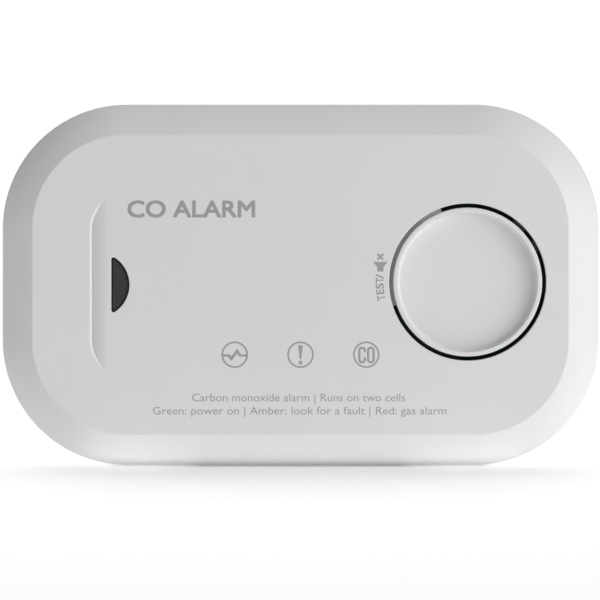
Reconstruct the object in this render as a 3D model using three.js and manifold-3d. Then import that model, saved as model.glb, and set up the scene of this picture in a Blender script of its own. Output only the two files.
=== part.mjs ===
// Battery-powered carbon monoxide alarm: a two-shell white casing with a tilting round test button,
// a gas inlet over an electrochemical sensor, a piezo sounder, three indicator lamps and two AA cells.
// Millimetres, +Z up. The front face looks along -Y and the back, with its battery door, along +Y.
// The origin is the middle of the footprint, on the surface that the casing stands on.

import * as THREE from "three";
import { mergeVertices } from "three/addons/utils/BufferGeometryUtils.js";
import Module from "manifold-3d";

const wasm = await Module();
wasm.setup();

// Casing
const WIDTH = 120;
const HEIGHT = 72.6;
const DEPTH = 37;
const CORNER_RADIUS = 25;
const CORNER_STEPS = 5;
const WALL = 2.2;
const FACE_BEVEL = { size: 6, depth: 5 };
const BACK_BEVEL = { size: 2.5, depth: 2.5 };
const FACE_Y = -DEPTH / 2;
const INNER_FACE_Y = FACE_Y + WALL;
const BACK_Y = DEPTH / 2;
const BACK_WALL = 2;
const INNER_BACK_Y = BACK_Y - BACK_WALL;
const SEAM_Y = 5.5;
const TONGUE = { inset: 2.5, thickness: 1.4, reach: 2, root: 1.8 };
const MIDDLE_Z = HEIGHT / 2;
const GAP = 0.3;
const FUSE = 0.5;

// Test button and its pivot; angles run from +X towards +Z
const BUTTON = { x: 33.54, z: 36.85, radius: 14.94, edge: 0.4 };
const DISH = { radius: 13.8, depth: 1.6, foot: 0.95, shoulder: 0.2, shoulderRise: 1 };
const APERTURE_RADIUS = 15.77;
const BUTTON_FLOOR_Y = FACE_Y + 2.8;
const SKIRT = { back: FACE_Y + 4.9, thickness: 1.5 };
const FLANGE = { front: INNER_FACE_Y + 0.4, back: INNER_FACE_Y + 1.7, inner: 13.8, outer: 17.4 };
const FLANGE_ARC = [110, 198];
const STOP_TAB_ARCS = [
  [24, 33],
  [42, 53],
];
const STOP_TAB_OUTER = 16.9;
const PIVOT = { angle: 154, reach: 19, y: INNER_FACE_Y + 1.2, pinRadius: 0.7, holeRadius: 0.9 };
const PIVOT_ARM = { from: 5.2, to: 6.8, pinEnd: 8.4 };
const PIVOT_LUG = { from: 7.1, to: 8.9, halfWidth: 1.5, back: INNER_FACE_Y + 2.9 };
const POST = { reach: 13.4, radius: 1.2 };

// Gas inlet: a half-moon opening, and a shallow scoop beside it
const INLET = { flatX: -38.07, apexX: -34.44, halfHeight: 5.7 };
const INLET_FILTER = { recess: 0.6, clearance: 0.25, flange: 0.5 };
const SCOOP = { x: -42.3, fadeX: -39, endX: -37.5, halfHeight: 17.4, radius: 4.5, depth: 1 };
const SENSOR = { x: -36.5, z: MIDDLE_Z, radius: 7.2, bead: 2, groove: 0.5 };
const SENSOR_CAP = { radius: 7.5, y: [-15.1, -13.3], inlet: 1.2, countersink: 1.6, lip: 0.9 };
const SEAL = { inner: 7, outer: 7.9, y: [-16, -15.4] };
const COLLAR = { inner: 8.2, outer: 9.4, back: -13.5 };

// Circuit board
const BOARD = { front: -3.4, back: -1.8, halfWidth: 50.5, bottom: 8, top: 64.6 };
const BOARD_NOTCH = { x: 42.5, below: 20, above: 52.6 };
const BOARD_SCREWS = { x: 28, zs: [11.2, 61.4], bossRadius: 2.8, shank: 1, head: 2.1, tipY: -9 };
const ON_BOARD_Y = BOARD.front - GAP;

// Indicators
const LAMPS = { xs: { power: -13.2, fault: 0, alarm: 13.2 }, z: 22.27 };
const LAMP = { halfWidth: 1.7, halfHeight: 1.4, base: 1, lens: 1.1, lensFront: 1.5 };
const LIGHT_PIPE = { radius: 2.4, front: -17, back: -5.7, chamfer: 0.3, foot: 0.8 };
const LIGHT_WELL = { radius: 2.7, front: -17.3 };
const SHROUD = { halfWidth: 17.2, halfHeight: 4, front: -15.9, bore: 2.75 };

// Sounder
const SOUNDER = { shift: 2, radius: 11.6, front: -11.4, wall: 1.2, toneHole: 2, ledge: 9 };
const LEDGE_Y = -7.5;
const PIEZO = { radius: 10, y: [-7.2, -6.9] };
const CERAMIC = { radius: 7, y: [-6.65, -6.4] };
const SOUNDER_RING = { inner: 8.6, outer: 10.1, y: [-6.6, -4.6] };

// Parts on the board
const CHIP = { x: -10, z: 42, half: [5.2, 3.8], body: [2.3, 0.2], leads: 8, pitch: 1.27 };
const CHIP_LEAD = { halfWidth: 0.22, length: 1.2, root: 0.3, height: 0.8 };
const CAPACITOR = { radius: 3.15, height: 7, bevel: 0.4, bead: 1.3, groove: 0.3 };
const CAPACITORS = { xs: [4, 12], z: 55 };
const INDUCTOR = { x: 6, z: 40, radius: 4, waist: 3.1, height: 6, flange: 1, slope: 0.2 };

// Test switch
const SWITCH = { reach: 14, half: 3, front: -6.9, well: 1.95, wellBack: -5.3 };
const PLUNGER = { radius: 1.75, y: [-8.35, -6.2] };

// Cells and their bay, which opens at the back
const CELL = { radius: 7.25, body: 49.4, length: 50.5, nub: 2.75, y: 8.95 };
const CELL_ZS = [MIDDLE_Z - 7.7, MIDDLE_Z + 7.7];
const BAY = { halfWidth: 28.6, halfHeight: 15.5, floor: [0.2, 1.4], wall: 1.2 };
const CONTACT = { face: 27.9, thickness: 0.4, y: [3, 15] };
const TAIL = { halfWidth: 1.2, back: BOARD.back + GAP };
const SPRING = { base: 4.2, tip: 2.7, length: 4.2, turns: 3.5, wire: 0.35 };
const DIMPLE = { top: 2, foot: 2.6, height: 0.3 };

// Battery door: hinge on its left side as the front is seen, latch on its right side
const DOOR = { left: -29.7, right: 33, halfHeight: 17.3, corner: 2, thickness: 1.6 };
const REBATE_DEPTH = DOOR.thickness + GAP;
const HINGE = { x: -32, y: 17.2, radius: 1.3, pin: 0.8, hole: 0.95, pinReach: 1, side: 1.9 };
const HINGE_SIDE_GAP = 0.7;
const KNUCKLES = { offset: 10.6, halfLength: 3 };
const HINGE_BLOCK = { x: [-35.4, -29.4], front: 14.2, halfHeight: 15.6 };
const LATCH = { legs: [31.6, 34.4], leg: 1, front: 13, halfWidth: 4.2, nib: 0.4, nibY: [15.2, 16.2] };
const GRIP = { inset: 6, pitch: 1.8, halfWidth: 0.4, depth: 0.5, halfLength: 6 };
const LATCH_WELL = { x: [31.2, 36.2], front: 12.6, halfWidth: 4.8, wall: 1.2 };

// Casing screws and wall keyholes
const CASE_SCREWS = { x: 47, zs: [14, 58.6], bossRadius: 3.4, column: 4.4, well: 3.3, seat: 8 };
const CASE_SCREW = { head: 2.8, headDepth: 2.2, shank: 1.25, tipY: -8 };
const KEYHOLES = { x: 43.5, z: 31.5, head: 3.75, slot: 1.9, rise: 10 };
const KEY_POCKET = { halfWidth: 5.3, z: [26.9, 45.8], front: 12.4, wall: 1.2 };
const LABEL = { halfWidth: 30, z: [5, 16.4], pocket: 0.35, thickness: 0.2, corner: 1 };

// ---- solids ----

// A closed solid from any closed three.js geometry, with its faces turned outwards.
function solid(geometry) {
  const bare = new THREE.BufferGeometry().setAttribute("position", geometry.attributes.position);
  bare.setIndex(geometry.index);
  const merged = mergeVertices(bare, 1e-4);
  const corners = merged.index.array;
  const points = merged.attributes.position;
  const [a, b, c] = [new THREE.Vector3(), new THREE.Vector3(), new THREE.Vector3()];
  const kept = [];
  let volume = 0;
  for (let i = 0; i < corners.length; i += 3) {
    const [i0, i1, i2] = corners.slice(i, i + 3);
    if (i0 === i1 || i1 === i2 || i0 === i2) continue;
    kept.push(i0, i1, i2);
    a.fromBufferAttribute(points, i0);
    b.fromBufferAttribute(points, i1);
    c.fromBufferAttribute(points, i2);
    volume += a.dot(b.cross(c));
  }
  if (volume < 0) kept.reverse();
  const mesh = new wasm.Mesh({
    numProp: 3,
    vertProperties: points.array,
    triVerts: new Uint32Array(kept),
  });
  return new wasm.Manifold(mesh);
}

function geometryOf(made) {
  const mesh = made.getMesh();
  return new THREE.BufferGeometry()
    .setAttribute("position", new THREE.BufferAttribute(mesh.vertProperties, 3))
    .setIndex(new THREE.BufferAttribute(mesh.triVerts, 1));
}

const join = (pieces) => pieces.reduce((whole, piece) => whole.add(piece));
const cut = (whole, pieces) => pieces.reduce((left, piece) => left.subtract(piece), whole);

function box([x0, x1], [y0, y1], [z0, z1]) {
  const geometry = new THREE.BoxGeometry(x1 - x0, y1 - y0, z1 - z0);
  return solid(geometry.translate((x0 + x1) / 2, (y0 + y1) / 2, (z0 + z1) / 2));
}

// A round bar along Y.
function bar(x, z, radius, [y0, y1], sides = 16) {
  const geometry = new THREE.CylinderGeometry(radius, radius, y1 - y0, sides);
  return solid(geometry.translate(x, (y0 + y1) / 2, z));
}

// A shape drawn in X and Z, as deep along Y as the span says.
function plate(shape, [y0, y1], curveSegments = CORNER_STEPS) {
  const geometry = new THREE.ExtrudeGeometry(shape, {
    depth: y1 - y0,
    bevelEnabled: false,
    curveSegments,
  });
  return solid(geometry.rotateX(Math.PI / 2).translate(0, y1, 0));
}

// The same, with a chamfer at both ends that draws the shape in by bevel.size over bevel.depth.
function chamferedPlate(shape, [y0, y1], bevel) {
  const geometry = new THREE.ExtrudeGeometry(shape, {
    depth: y1 - y0 - 2 * bevel.depth,
    bevelThickness: bevel.depth,
    bevelSize: bevel.size,
    bevelOffset: -bevel.size,
    bevelSegments: 1,
    curveSegments: CORNER_STEPS,
  });
  return solid(geometry.rotateX(Math.PI / 2).translate(0, y1 - bevel.depth, 0));
}

// A profile of [radius, y] points turned round the Y axis.
function turned(profile, sides = 24) {
  return solid(new THREE.LatheGeometry(profile.map(([r, y]) => new THREE.Vector2(r, y)), sides));
}

function roundedRectangle([x0, x1], [z0, z1], radius) {
  const shape = new THREE.Shape();
  const quarter = Math.PI / 2;
  shape.absarc(x1 - radius, z0 + radius, radius, -quarter, 0);
  shape.absarc(x1 - radius, z1 - radius, radius, 0, quarter);
  shape.absarc(x0 + radius, z1 - radius, radius, quarter, 2 * quarter);
  shape.absarc(x0 + radius, z0 + radius, radius, 2 * quarter, 3 * quarter);
  shape.closePath();
  return shape;
}

// The casing's outline, drawn in all round by inset.
function caseOutline(inset) {
  return roundedRectangle(
    [-WIDTH / 2 + inset, WIDTH / 2 - inset],
    [inset, HEIGHT - inset],
    CORNER_RADIUS - inset,
  );
}

function ringWall(outerInset, innerInset, span) {
  const past = [span[0] - FUSE, span[1] + FUSE];
  return plate(caseOutline(outerInset), span).subtract(plate(caseOutline(innerInset), past));
}

const radians = (degrees) => (degrees * Math.PI) / 180;

// A stretch of a flat ring, centred on the Y axis.
function ringSector(inner, outer, [from, to], span) {
  const shape = new THREE.Shape();
  shape.absarc(0, 0, outer, radians(from), radians(to), false);
  shape.absarc(0, 0, inner, radians(to), radians(from), true);
  shape.closePath();
  return plate(shape, span, 6);
}

// Turns a solid about the Y axis from +X towards +Z, then moves it to the button's centre.
function aboutButton(made, degrees = 0) {
  return made.rotate([0, -degrees, 0]).translate([BUTTON.x, 0, BUTTON.z]);
}

// A place measured from the button's centre in the pivot's direction.
function alongPivot(reach) {
  const angle = radians(PIVOT.angle);
  return { x: BUTTON.x + reach * Math.cos(angle), z: BUTTON.z + reach * Math.sin(angle) };
}

const bothSides = (make) => [1, -1].map(make);

function atCorners({ x, zs }, make) {
  return bothSides((side) => zs.map((z) => make(side * x, z))).flat();
}

// ---- front cover ----

function inletShape(grow) {
  const { flatX, apexX, halfHeight } = INLET;
  const rise = apexX - flatX;
  const radius = (rise ** 2 + halfHeight ** 2) / (2 * rise);
  const centreX = apexX - radius;
  const left = flatX - grow;
  const grown = radius + grow;
  const half = Math.acos((left - centreX) / grown);
  const shape = new THREE.Shape();
  shape.absarc(centreX, MIDDLE_Z, grown, -half, half, false);
  shape.closePath();
  return shape;
}

// The scoop's floor starts deep at its left edge and rises to meet the face.
function scoopCutter() {
  const { x, fadeX, endX, halfHeight, radius, depth } = SCOOP;
  const shape = new THREE.Shape();
  shape.moveTo(endX, MIDDLE_Z + halfHeight);
  shape.absarc(x + radius, MIDDLE_Z + halfHeight - radius, radius, Math.PI / 2, Math.PI);
  shape.absarc(x + radius, MIDDLE_Z - halfHeight + radius, radius, Math.PI, 1.5 * Math.PI);
  shape.lineTo(endX, MIDDLE_Z - halfHeight);
  shape.closePath();
  const slope = Math.atan2(depth, fadeX - x);
  const reach = 8;
  const above = new THREE.BoxGeometry(3 * reach, reach, HEIGHT)
    .translate(0, -reach / 2, 0)
    .rotateZ(-slope)
    .translate(fadeX, FACE_Y, MIDDLE_Z);
  return plate(shape, [FACE_Y - 1, FACE_Y + depth + 1]).intersect(solid(above));
}

function pivotLugs() {
  const { from, to, halfWidth, back } = PIVOT_LUG;
  const across = [PIVOT.reach - halfWidth, PIVOT.reach + halfWidth];
  return bothSides((side) => {
    const along = side > 0 ? [from, to] : [-to, -from];
    return aboutButton(box(across, [INNER_FACE_Y - FUSE, back], along), PIVOT.angle);
  });
}

// A bar along the pivot's axis, which crosses the pivot's direction.
function pivotBar(radius, halfLength) {
  const geometry = new THREE.CylinderGeometry(radius, radius, 2 * halfLength, 12)
    .rotateX(Math.PI / 2)
    .translate(PIVOT.reach, PIVOT.y, 0);
  return aboutButton(solid(geometry), PIVOT.angle);
}

function frontCover() {
  const ahead = box([-WIDTH, WIDTH], [-DEPTH, SEAM_Y], [-1, HEIGHT + 1]);
  const outer = chamferedPlate(caseOutline(0), [FACE_Y, BACK_Y], FACE_BEVEL);
  const hollow = chamferedPlate(caseOutline(WALL), [INNER_FACE_Y, DEPTH], FACE_BEVEL);
  const shell = outer.intersect(ahead).subtract(hollow);
  const bossFront = INNER_FACE_Y - FUSE;
  const collar = bar(SENSOR.x, SENSOR.z, COLLAR.outer, [bossFront, COLLAR.back], 24);
  const caseBosses = atCorners(CASE_SCREWS, (x, z) =>
    bar(x, z, CASE_SCREWS.bossRadius, [bossFront, SEAM_Y - 2]),
  );
  const boardBosses = atCorners(BOARD_SCREWS, (x, z) =>
    bar(x, z, BOARD_SCREWS.bossRadius, [bossFront, ON_BOARD_Y]),
  );
  const whole = join([shell, collar, ...caseBosses, ...boardBosses, ...pivotLugs()]);
  const collarBore = bar(SENSOR.x, SENSOR.z, COLLAR.inner, [INNER_FACE_Y, SEAM_Y], 24);
  const aperture = bar(BUTTON.x, BUTTON.z, APERTURE_RADIUS, [FACE_Y - 1, INNER_FACE_Y + 1], 48);
  const lightWells = Object.values(LAMPS.xs).map((x) =>
    bar(x, LAMPS.z, LIGHT_WELL.radius, [LIGHT_WELL.front, INNER_FACE_Y + FUSE]),
  );
  const caseScrewHoles = atCorners(CASE_SCREWS, (x, z) =>
    bar(x, z, CASE_SCREW.shank + GAP, [CASE_SCREW.tipY - 1, SEAM_Y], 12),
  );
  const boardScrewHoles = atCorners(BOARD_SCREWS, (x, z) =>
    bar(x, z, BOARD_SCREWS.shank + 0.2, [BOARD_SCREWS.tipY - 1, SEAM_Y], 12),
  );
  return cut(whole, [
    collarBore,
    aperture,
    plate(inletShape(0), [FACE_Y - 1, INNER_FACE_Y + 1]),
    scoopCutter(),
    pivotBar(PIVOT.holeRadius, PIVOT_LUG.to + 1),
    ...lightWells,
    ...caseScrewHoles,
    ...boardScrewHoles,
  ]);
}

// ---- test button ----

function testButton() {
  const { radius, edge } = BUTTON;
  const { foot: dishFoot, shoulder, shoulderRise } = DISH;
  const dishY = FACE_Y + DISH.depth;
  const skirtInner = radius - SKIRT.thickness;
  const cap = turned(
    [
      [0, dishY],
      [DISH.radius - dishFoot, dishY],
      [DISH.radius - shoulder, FACE_Y + shoulderRise],
      [DISH.radius + shoulder, FACE_Y],
      [radius - edge, FACE_Y],
      [radius, FACE_Y + edge],
      [radius, SKIRT.back],
      [skirtInner, SKIRT.back],
      [skirtInner, BUTTON_FLOOR_Y],
      [0, BUTTON_FLOOR_Y],
    ],
    40,
  );
  const flangeSpan = [FLANGE.front, FLANGE.back];
  const flange = ringSector(FLANGE.inner, FLANGE.outer, FLANGE_ARC, flangeSpan);
  const stopTabs = STOP_TAB_ARCS.map((arc) =>
    aboutButton(ringSector(FLANGE.inner, STOP_TAB_OUTER, arc, flangeSpan)),
  );
  const arms = bothSides((side) => {
    const along = side > 0 ? [PIVOT_ARM.from, PIVOT_ARM.to] : [-PIVOT_ARM.to, -PIVOT_ARM.from];
    const across = [FLANGE.inner + 1, PIVOT.reach + 1];
    return aboutButton(box(across, flangeSpan, along), PIVOT.angle);
  });
  const pins = bothSides((side) => {
    const { from, pinEnd } = PIVOT_ARM;
    const geometry = new THREE.CylinderGeometry(PIVOT.pinRadius, PIVOT.pinRadius, pinEnd - from, 12)
      .rotateX(Math.PI / 2)
      .translate(PIVOT.reach, PIVOT.y, (side * (from + pinEnd)) / 2);
    return aboutButton(solid(geometry), PIVOT.angle);
  });
  const foot = alongPivot(-POST.reach);
  const postEnd = PLUNGER.y[0] - GAP / 2;
  const post = bar(foot.x, foot.z, POST.radius, [BUTTON_FLOOR_Y - FUSE, postEnd], 16);
  return join([aboutButton(cap), aboutButton(flange), ...stopTabs, ...arms, ...pins, post]);
}

function testSwitchBody() {
  const { x, z } = alongPivot(-SWITCH.reach);
  const { half, front, well, wellBack } = SWITCH;
  const shape = roundedRectangle([x - half, x + half], [z - half, z + half], 0.5);
  return plate(shape, [front, ON_BOARD_Y], 1).subtract(bar(x, z, well, [front - 1, wellBack]));
}

function testSwitchPlunger() {
  const { x, z } = alongPivot(-SWITCH.reach);
  const { radius, y } = PLUNGER;
  const chamfer = 0.25;
  return turned([
    [0, y[0]],
    [radius - chamfer, y[0]],
    [radius, y[0] + chamfer],
    [radius, y[1]],
    [0, y[1]],
  ], 16).translate([x, 0, z]);
}

// ---- gas sensing ----

function gasInletFilter() {
  const { recess, clearance, flange } = INLET_FILTER;
  const plug = plate(inletShape(-clearance), [FACE_Y + recess, SEAL.y[0] + FUSE / 2]);
  return plug.add(plate(inletShape(flange), SEAL.y));
}

function sensorSeal() {
  const ring = bar(SENSOR.x, SENSOR.z, SEAL.outer, SEAL.y, 24);
  return ring.subtract(bar(SENSOR.x, SENSOR.z, SEAL.inner, [SEAL.y[0] - 1, SEAL.y[1] + 1], 24));
}

function sensorCap() {
  const { radius, inlet, countersink, lip } = SENSOR_CAP;
  const [front, back] = SENSOR_CAP.y;
  const skirtInner = SENSOR.radius + 0.1;
  const chamfer = 0.3;
  return turned([
    [inlet, front + chamfer],
    [inlet + countersink, front],
    [radius - chamfer, front],
    [radius, front + chamfer],
    [radius, back + lip],
    [skirtInner, back + lip],
    [skirtInner, back],
    [inlet, back],
    [inlet, front + chamfer],
  ]).translate([SENSOR.x, 0, SENSOR.z]);
}

function sensorBody() {
  const front = SENSOR_CAP.y[1] + GAP;
  const { radius, bead, groove, x, z } = SENSOR;
  const beadY = ON_BOARD_Y - bead;
  const bodyRadius = radius - 0.2;
  return turned([
    [0, front],
    [bodyRadius, front],
    [bodyRadius, beadY - 2 * groove],
    [bodyRadius - groove, beadY - groove],
    [radius, beadY],
    [radius, ON_BOARD_Y],
    [0, ON_BOARD_Y],
  ]).translate([x, 0, z]);
}

// ---- sounder ----

function onSounderAxis(made) {
  const { x, z } = alongPivot(SOUNDER.shift);
  return made.translate([x, 0, z]);
}

function disc(radius, [front, back]) {
  const profile = [
    [0, front],
    [radius, front],
    [radius, back],
    [0, back],
  ];
  return turned(profile, 28);
}

function sounderChamber() {
  const { radius, front, wall, toneHole, ledge } = SOUNDER;
  const bore = radius - wall;
  const profile = [
    [toneHole, front],
    [radius - 0.6, front],
    [radius, front + 0.6],
    [radius, ON_BOARD_Y],
    [bore, ON_BOARD_Y],
    [bore, LEDGE_Y],
    [ledge, LEDGE_Y],
    [ledge, front + wall],
    [toneHole, front + wall],
    [toneHole, front],
  ];
  return onSounderAxis(turned(profile, 28));
}

function sounderRing() {
  const { inner, outer, y } = SOUNDER_RING;
  const past = [y[0] - 1, y[1] + 1];
  return onSounderAxis(disc(outer, y).subtract(disc(inner, past)));
}

// ---- indicators ----

function lightShroud() {
  const { halfWidth, halfHeight, front, bore } = SHROUD;
  const across = [-halfWidth, halfWidth];
  const shape = roundedRectangle(across, [LAMPS.z - halfHeight, LAMPS.z + halfHeight], 3.9);
  const bores = Object.values(LAMPS.xs).map((x) =>
    bar(x, LAMPS.z, bore, [front - 1, BOARD.front]),
  );
  return cut(plate(shape, [front, ON_BOARD_Y], 3), bores);
}

function lightPipe(x) {
  const { radius, front, back, chamfer, foot } = LIGHT_PIPE;
  return turned([
    [0, front],
    [radius - chamfer, front],
    [radius, front + chamfer],
    [radius, back - foot],
    [radius - foot / 2, back],
    [0, back],
  ], 16).translate([x, 0, LAMPS.z]);
}

function lamp(x) {
  const { halfWidth, halfHeight, base, lens, lensFront } = LAMP;
  const front = ON_BOARD_Y - base;
  const [low, high] = [LAMPS.z - halfHeight, LAMPS.z + halfHeight];
  return box([x - halfWidth, x + halfWidth], [front, ON_BOARD_Y], [low, high]).add(
    bar(x, LAMPS.z, lens, [ON_BOARD_Y - lensFront, front + FUSE]),
  );
}

// ---- electronics ----

function circuitBoard() {
  const { front, back, halfWidth, bottom, top } = BOARD;
  const { x: notchX, below, above } = BOARD_NOTCH;
  const span = [front, back];
  const tall = plate(roundedRectangle([-notchX, notchX], [bottom, top], 2), span, 2);
  const wide = plate(roundedRectangle([-halfWidth, halfWidth], [below, above], 2), span, 2);
  const holes = atCorners(BOARD_SCREWS, (x, z) =>
    bar(x, z, BOARD_SCREWS.shank + GAP, [front - 1, back + 1], 12),
  );
  return cut(tall.add(wide), holes);
}

function microcontroller() {
  const [halfX, halfZ] = CHIP.half;
  const { halfWidth, length, root, height } = CHIP_LEAD;
  const across = [CHIP.x - halfX, CHIP.x + halfX];
  const shape = roundedRectangle(across, [CHIP.z - halfZ, CHIP.z + halfZ], root);
  const body = plate(shape, CHIP.body.map((above) => ON_BOARD_Y - above), 1);
  const leads = Array.from({ length: CHIP.leads }, (_, i) => {
    const x = CHIP.x + (i - (CHIP.leads - 1) / 2) * CHIP.pitch;
    return bothSides((side) => {
      const near = CHIP.z + side * (halfZ - root);
      const far = CHIP.z + side * (halfZ + length);
      const along = side > 0 ? [near, far] : [far, near];
      return box([x - halfWidth, x + halfWidth], [ON_BOARD_Y - height, ON_BOARD_Y], along);
    });
  }).flat();
  return join([body, ...leads]);
}

function capacitor(x, z) {
  const { radius, height, bevel, bead, groove } = CAPACITOR;
  const front = ON_BOARD_Y - height;
  const beadY = ON_BOARD_Y - bead;
  return turned([
    [0, front],
    [radius - bevel, front],
    [radius, front + bevel],
    [radius, beadY - groove],
    [radius - groove, beadY],
    [radius, beadY + groove],
    [radius, ON_BOARD_Y],
    [0, ON_BOARD_Y],
  ], 16).translate([x, 0, z]);
}

function boostInductor() {
  const { x, z, radius, waist, height, flange, slope } = INDUCTOR;
  const front = ON_BOARD_Y - height;
  return turned([
    [0, front],
    [radius, front],
    [radius, front + flange],
    [waist, front + flange + slope],
    [waist, ON_BOARD_Y - flange - slope],
    [radius, ON_BOARD_Y - flange],
    [radius, ON_BOARD_Y],
    [0, ON_BOARD_Y],
  ], 16).translate([x, 0, z]);
}

// ---- cells and contacts; side is +1 or -1 along X ----

// A cell along X whose nub points to the given side.
function cell(side, z) {
  const { radius, body, length, nub, y } = CELL;
  const made = turned([
    [0, 0],
    [radius - 0.6, 0],
    [radius, 0.5],
    [radius, body - 0.5],
    [radius - 0.6, body],
    [nub, body],
    [nub, length],
    [0, length],
  ], 20);
  const nubEnd = CONTACT.face - DIMPLE.height - GAP;
  return made.rotate([0, 0, -90 * side]).translate([side * (nubEnd - length), y, z]);
}

function contactPlate(side, [z0, z1]) {
  const { face, thickness, y } = CONTACT;
  const along = side > 0 ? [face, face + thickness] : [-face - thickness, -face];
  return box(along, y, [z0, z1]);
}

function contactTail(side, z) {
  const { face, thickness, y } = CONTACT;
  const along = side > 0 ? [face, face + thickness] : [-face - thickness, -face];
  return box(along, [TAIL.back, y[0] + FUSE], [z - TAIL.halfWidth, z + TAIL.halfWidth]);
}

function contactDimple(side, z) {
  const { top, foot, height } = DIMPLE;
  const sunk = CONTACT.thickness / 2;
  const geometry = new THREE.CylinderGeometry(top, foot, height + sunk, 16)
    .rotateZ((Math.PI / 2) * side)
    .translate(side * (CONTACT.face + (sunk - height) / 2), CELL.y, z);
  return solid(geometry);
}

class SpringPath extends THREE.Curve {
  getPoint(t, target = new THREE.Vector3()) {
    const angle = 2 * Math.PI * SPRING.turns * t;
    const radius = THREE.MathUtils.lerp(SPRING.base, SPRING.tip, t);
    return target.set(SPRING.length * t, radius * Math.cos(angle), radius * Math.sin(angle));
  }
}

// A tapering coil from the contact plate towards the cell's flat end.
function contactSpring(side, z) {
  const wire = new THREE.Shape().absarc(0, 0, SPRING.wire, 0, 2 * Math.PI);
  const geometry = new THREE.ExtrudeGeometry(wire, {
    steps: 12 * SPRING.turns,
    curveSegments: 3,
    extrudePath: new SpringPath(),
  });
  const turn = side > 0 ? Math.PI : 0;
  geometry.rotateY(turn).translate(side * (CONTACT.face + 0.05), CELL.y, z);
  return solid(geometry);
}

function contactNegative() {
  const z = CELL_ZS[0];
  return join([contactPlate(-1, [z - 6, z + 6]), contactTail(-1, z), contactSpring(-1, z)]);
}

function contactPositive() {
  const z = CELL_ZS[1];
  return join([contactPlate(-1, [z - 6, z + 6]), contactTail(-1, z), contactDimple(-1, z)]);
}

function contactBridge() {
  const [low, high] = CELL_ZS;
  return join([contactPlate(1, [low - 6, high + 6]), contactDimple(1, low), contactSpring(1, high)]);
}

// ---- battery door ----

// The door's outline with a gap round it; the hinge side has one of its own, which the turning edge needs.
function doorPanelShape(grow, hingeSideGrow = grow) {
  const { left, right, halfHeight, corner } = DOOR;
  return roundedRectangle(
    [left - hingeSideGrow, right + grow],
    [MIDDLE_Z - halfHeight - grow, MIDDLE_Z + halfHeight + grow],
    corner + grow,
  );
}

// A round bar along Z on the door's hinge line.
function hingeBar(radius, [z0, z1], sides = 16) {
  const geometry = new THREE.CylinderGeometry(radius, radius, z1 - z0, sides)
    .rotateX(Math.PI / 2)
    .translate(HINGE.x, HINGE.y, (z0 + z1) / 2);
  return solid(geometry);
}

const knuckleMiddles = [MIDDLE_Z - KNUCKLES.offset, MIDDLE_Z + KNUCKLES.offset];

function knuckle(middle) {
  const ends = [middle - KNUCKLES.halfLength, middle + KNUCKLES.halfLength];
  const pinEnds = [ends[0] - HINGE.pinReach, ends[1] + HINGE.pinReach];
  const web = box([HINGE.x, DOOR.left + FUSE], [HINGE.y - 0.1, BACK_Y], ends);
  return join([hingeBar(HINGE.radius, ends), hingeBar(HINGE.pin, pinEnds, 12), web]);
}

// A hairpin of plastic that flexes when the outer leg is pinched.
function doorLatch() {
  const { legs, leg, front, halfWidth, nib, nibY } = LATCH;
  const across = [MIDDLE_Z - halfWidth, MIDDLE_Z + halfWidth];
  const [inner, outer] = legs;
  const panelY = BACK_Y - DOOR.thickness;
  return join([
    box([inner, inner + leg], [front, panelY + FUSE], across),
    box([inner, outer + leg], [front, front + leg], across),
    box([outer, outer + leg], [front, BACK_Y - GAP], across),
    box([outer, outer + leg + nib], nibY, across),
  ]);
}

function batteryDoor() {
  const panel = plate(doorPanelShape(0), [BACK_Y - DOOR.thickness, BACK_Y], 2);
  const slotX = [LATCH.legs[0] + LATCH.leg, DOOR.right + 1];
  const slotHalf = LATCH.halfWidth + 0.6;
  const slot = box(slotX, [BACK_Y - 2, BACK_Y + 1], [MIDDLE_Z - slotHalf, MIDDLE_Z + slotHalf]);
  const gripSpan = [BACK_Y - GRIP.depth, BACK_Y + 1];
  const grips = [-1, 0, 1].map((i) => {
    const x = DOOR.right - GRIP.inset + GRIP.pitch * i;
    const across = [x - GRIP.halfWidth, x + GRIP.halfWidth];
    return box(across, gripSpan, [MIDDLE_Z - GRIP.halfLength, MIDDLE_Z + GRIP.halfLength]);
  });
  return join([cut(panel, [slot, ...grips]), ...knuckleMiddles.map(knuckle), doorLatch()]);
}

// ---- rear cover ----

function keyhole(x) {
  const { z, head, slot, rise } = KEYHOLES;
  const through = [INNER_BACK_Y - 1, BACK_Y + 1];
  return [
    bar(x, z, head, through),
    bar(x, z + rise, slot, through, 16),
    box([x - slot, x + slot], through, [z, z + rise]),
  ];
}

function keyPocket(x, grow) {
  const { halfWidth, z, front } = KEY_POCKET;
  return box(
    [x - halfWidth - grow, x + halfWidth + grow],
    [front - grow, INNER_BACK_Y + (grow ? FUSE : 0)],
    [z[0] - grow, z[1] + grow],
  );
}

function bay(grow, span) {
  const { halfWidth, halfHeight } = BAY;
  const across = [-halfWidth - grow, halfWidth + grow];
  return box(across, span, [MIDDLE_Z - halfHeight - grow, MIDDLE_Z + halfHeight + grow]);
}

function latchWell(grow) {
  const { x, front, halfWidth, wall } = LATCH_WELL;
  const reach = halfWidth + grow * wall;
  return box(
    [x[0] - grow * wall, x[1] + grow * wall],
    [front - grow * wall, BACK_Y + (grow ? -FUSE : 1)],
    [MIDDLE_Z - reach, MIDDLE_Z + reach],
  );
}

// The pocket that a knuckle turns in, open at the back, and the hole through its ends for the pins.
function knucklePocket(middle) {
  const half = KNUCKLES.halfLength + GAP;
  const pinHalf = half + HINGE.pinReach;
  return [
    box(
      [HINGE.x - HINGE.side, DOOR.left],
      [HINGE.y - HINGE.radius - GAP, BACK_Y + 1],
      [middle - half, middle + half],
    ),
    hingeBar(HINGE.hole, [middle - pinHalf, middle + pinHalf], 12),
  ];
}

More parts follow.
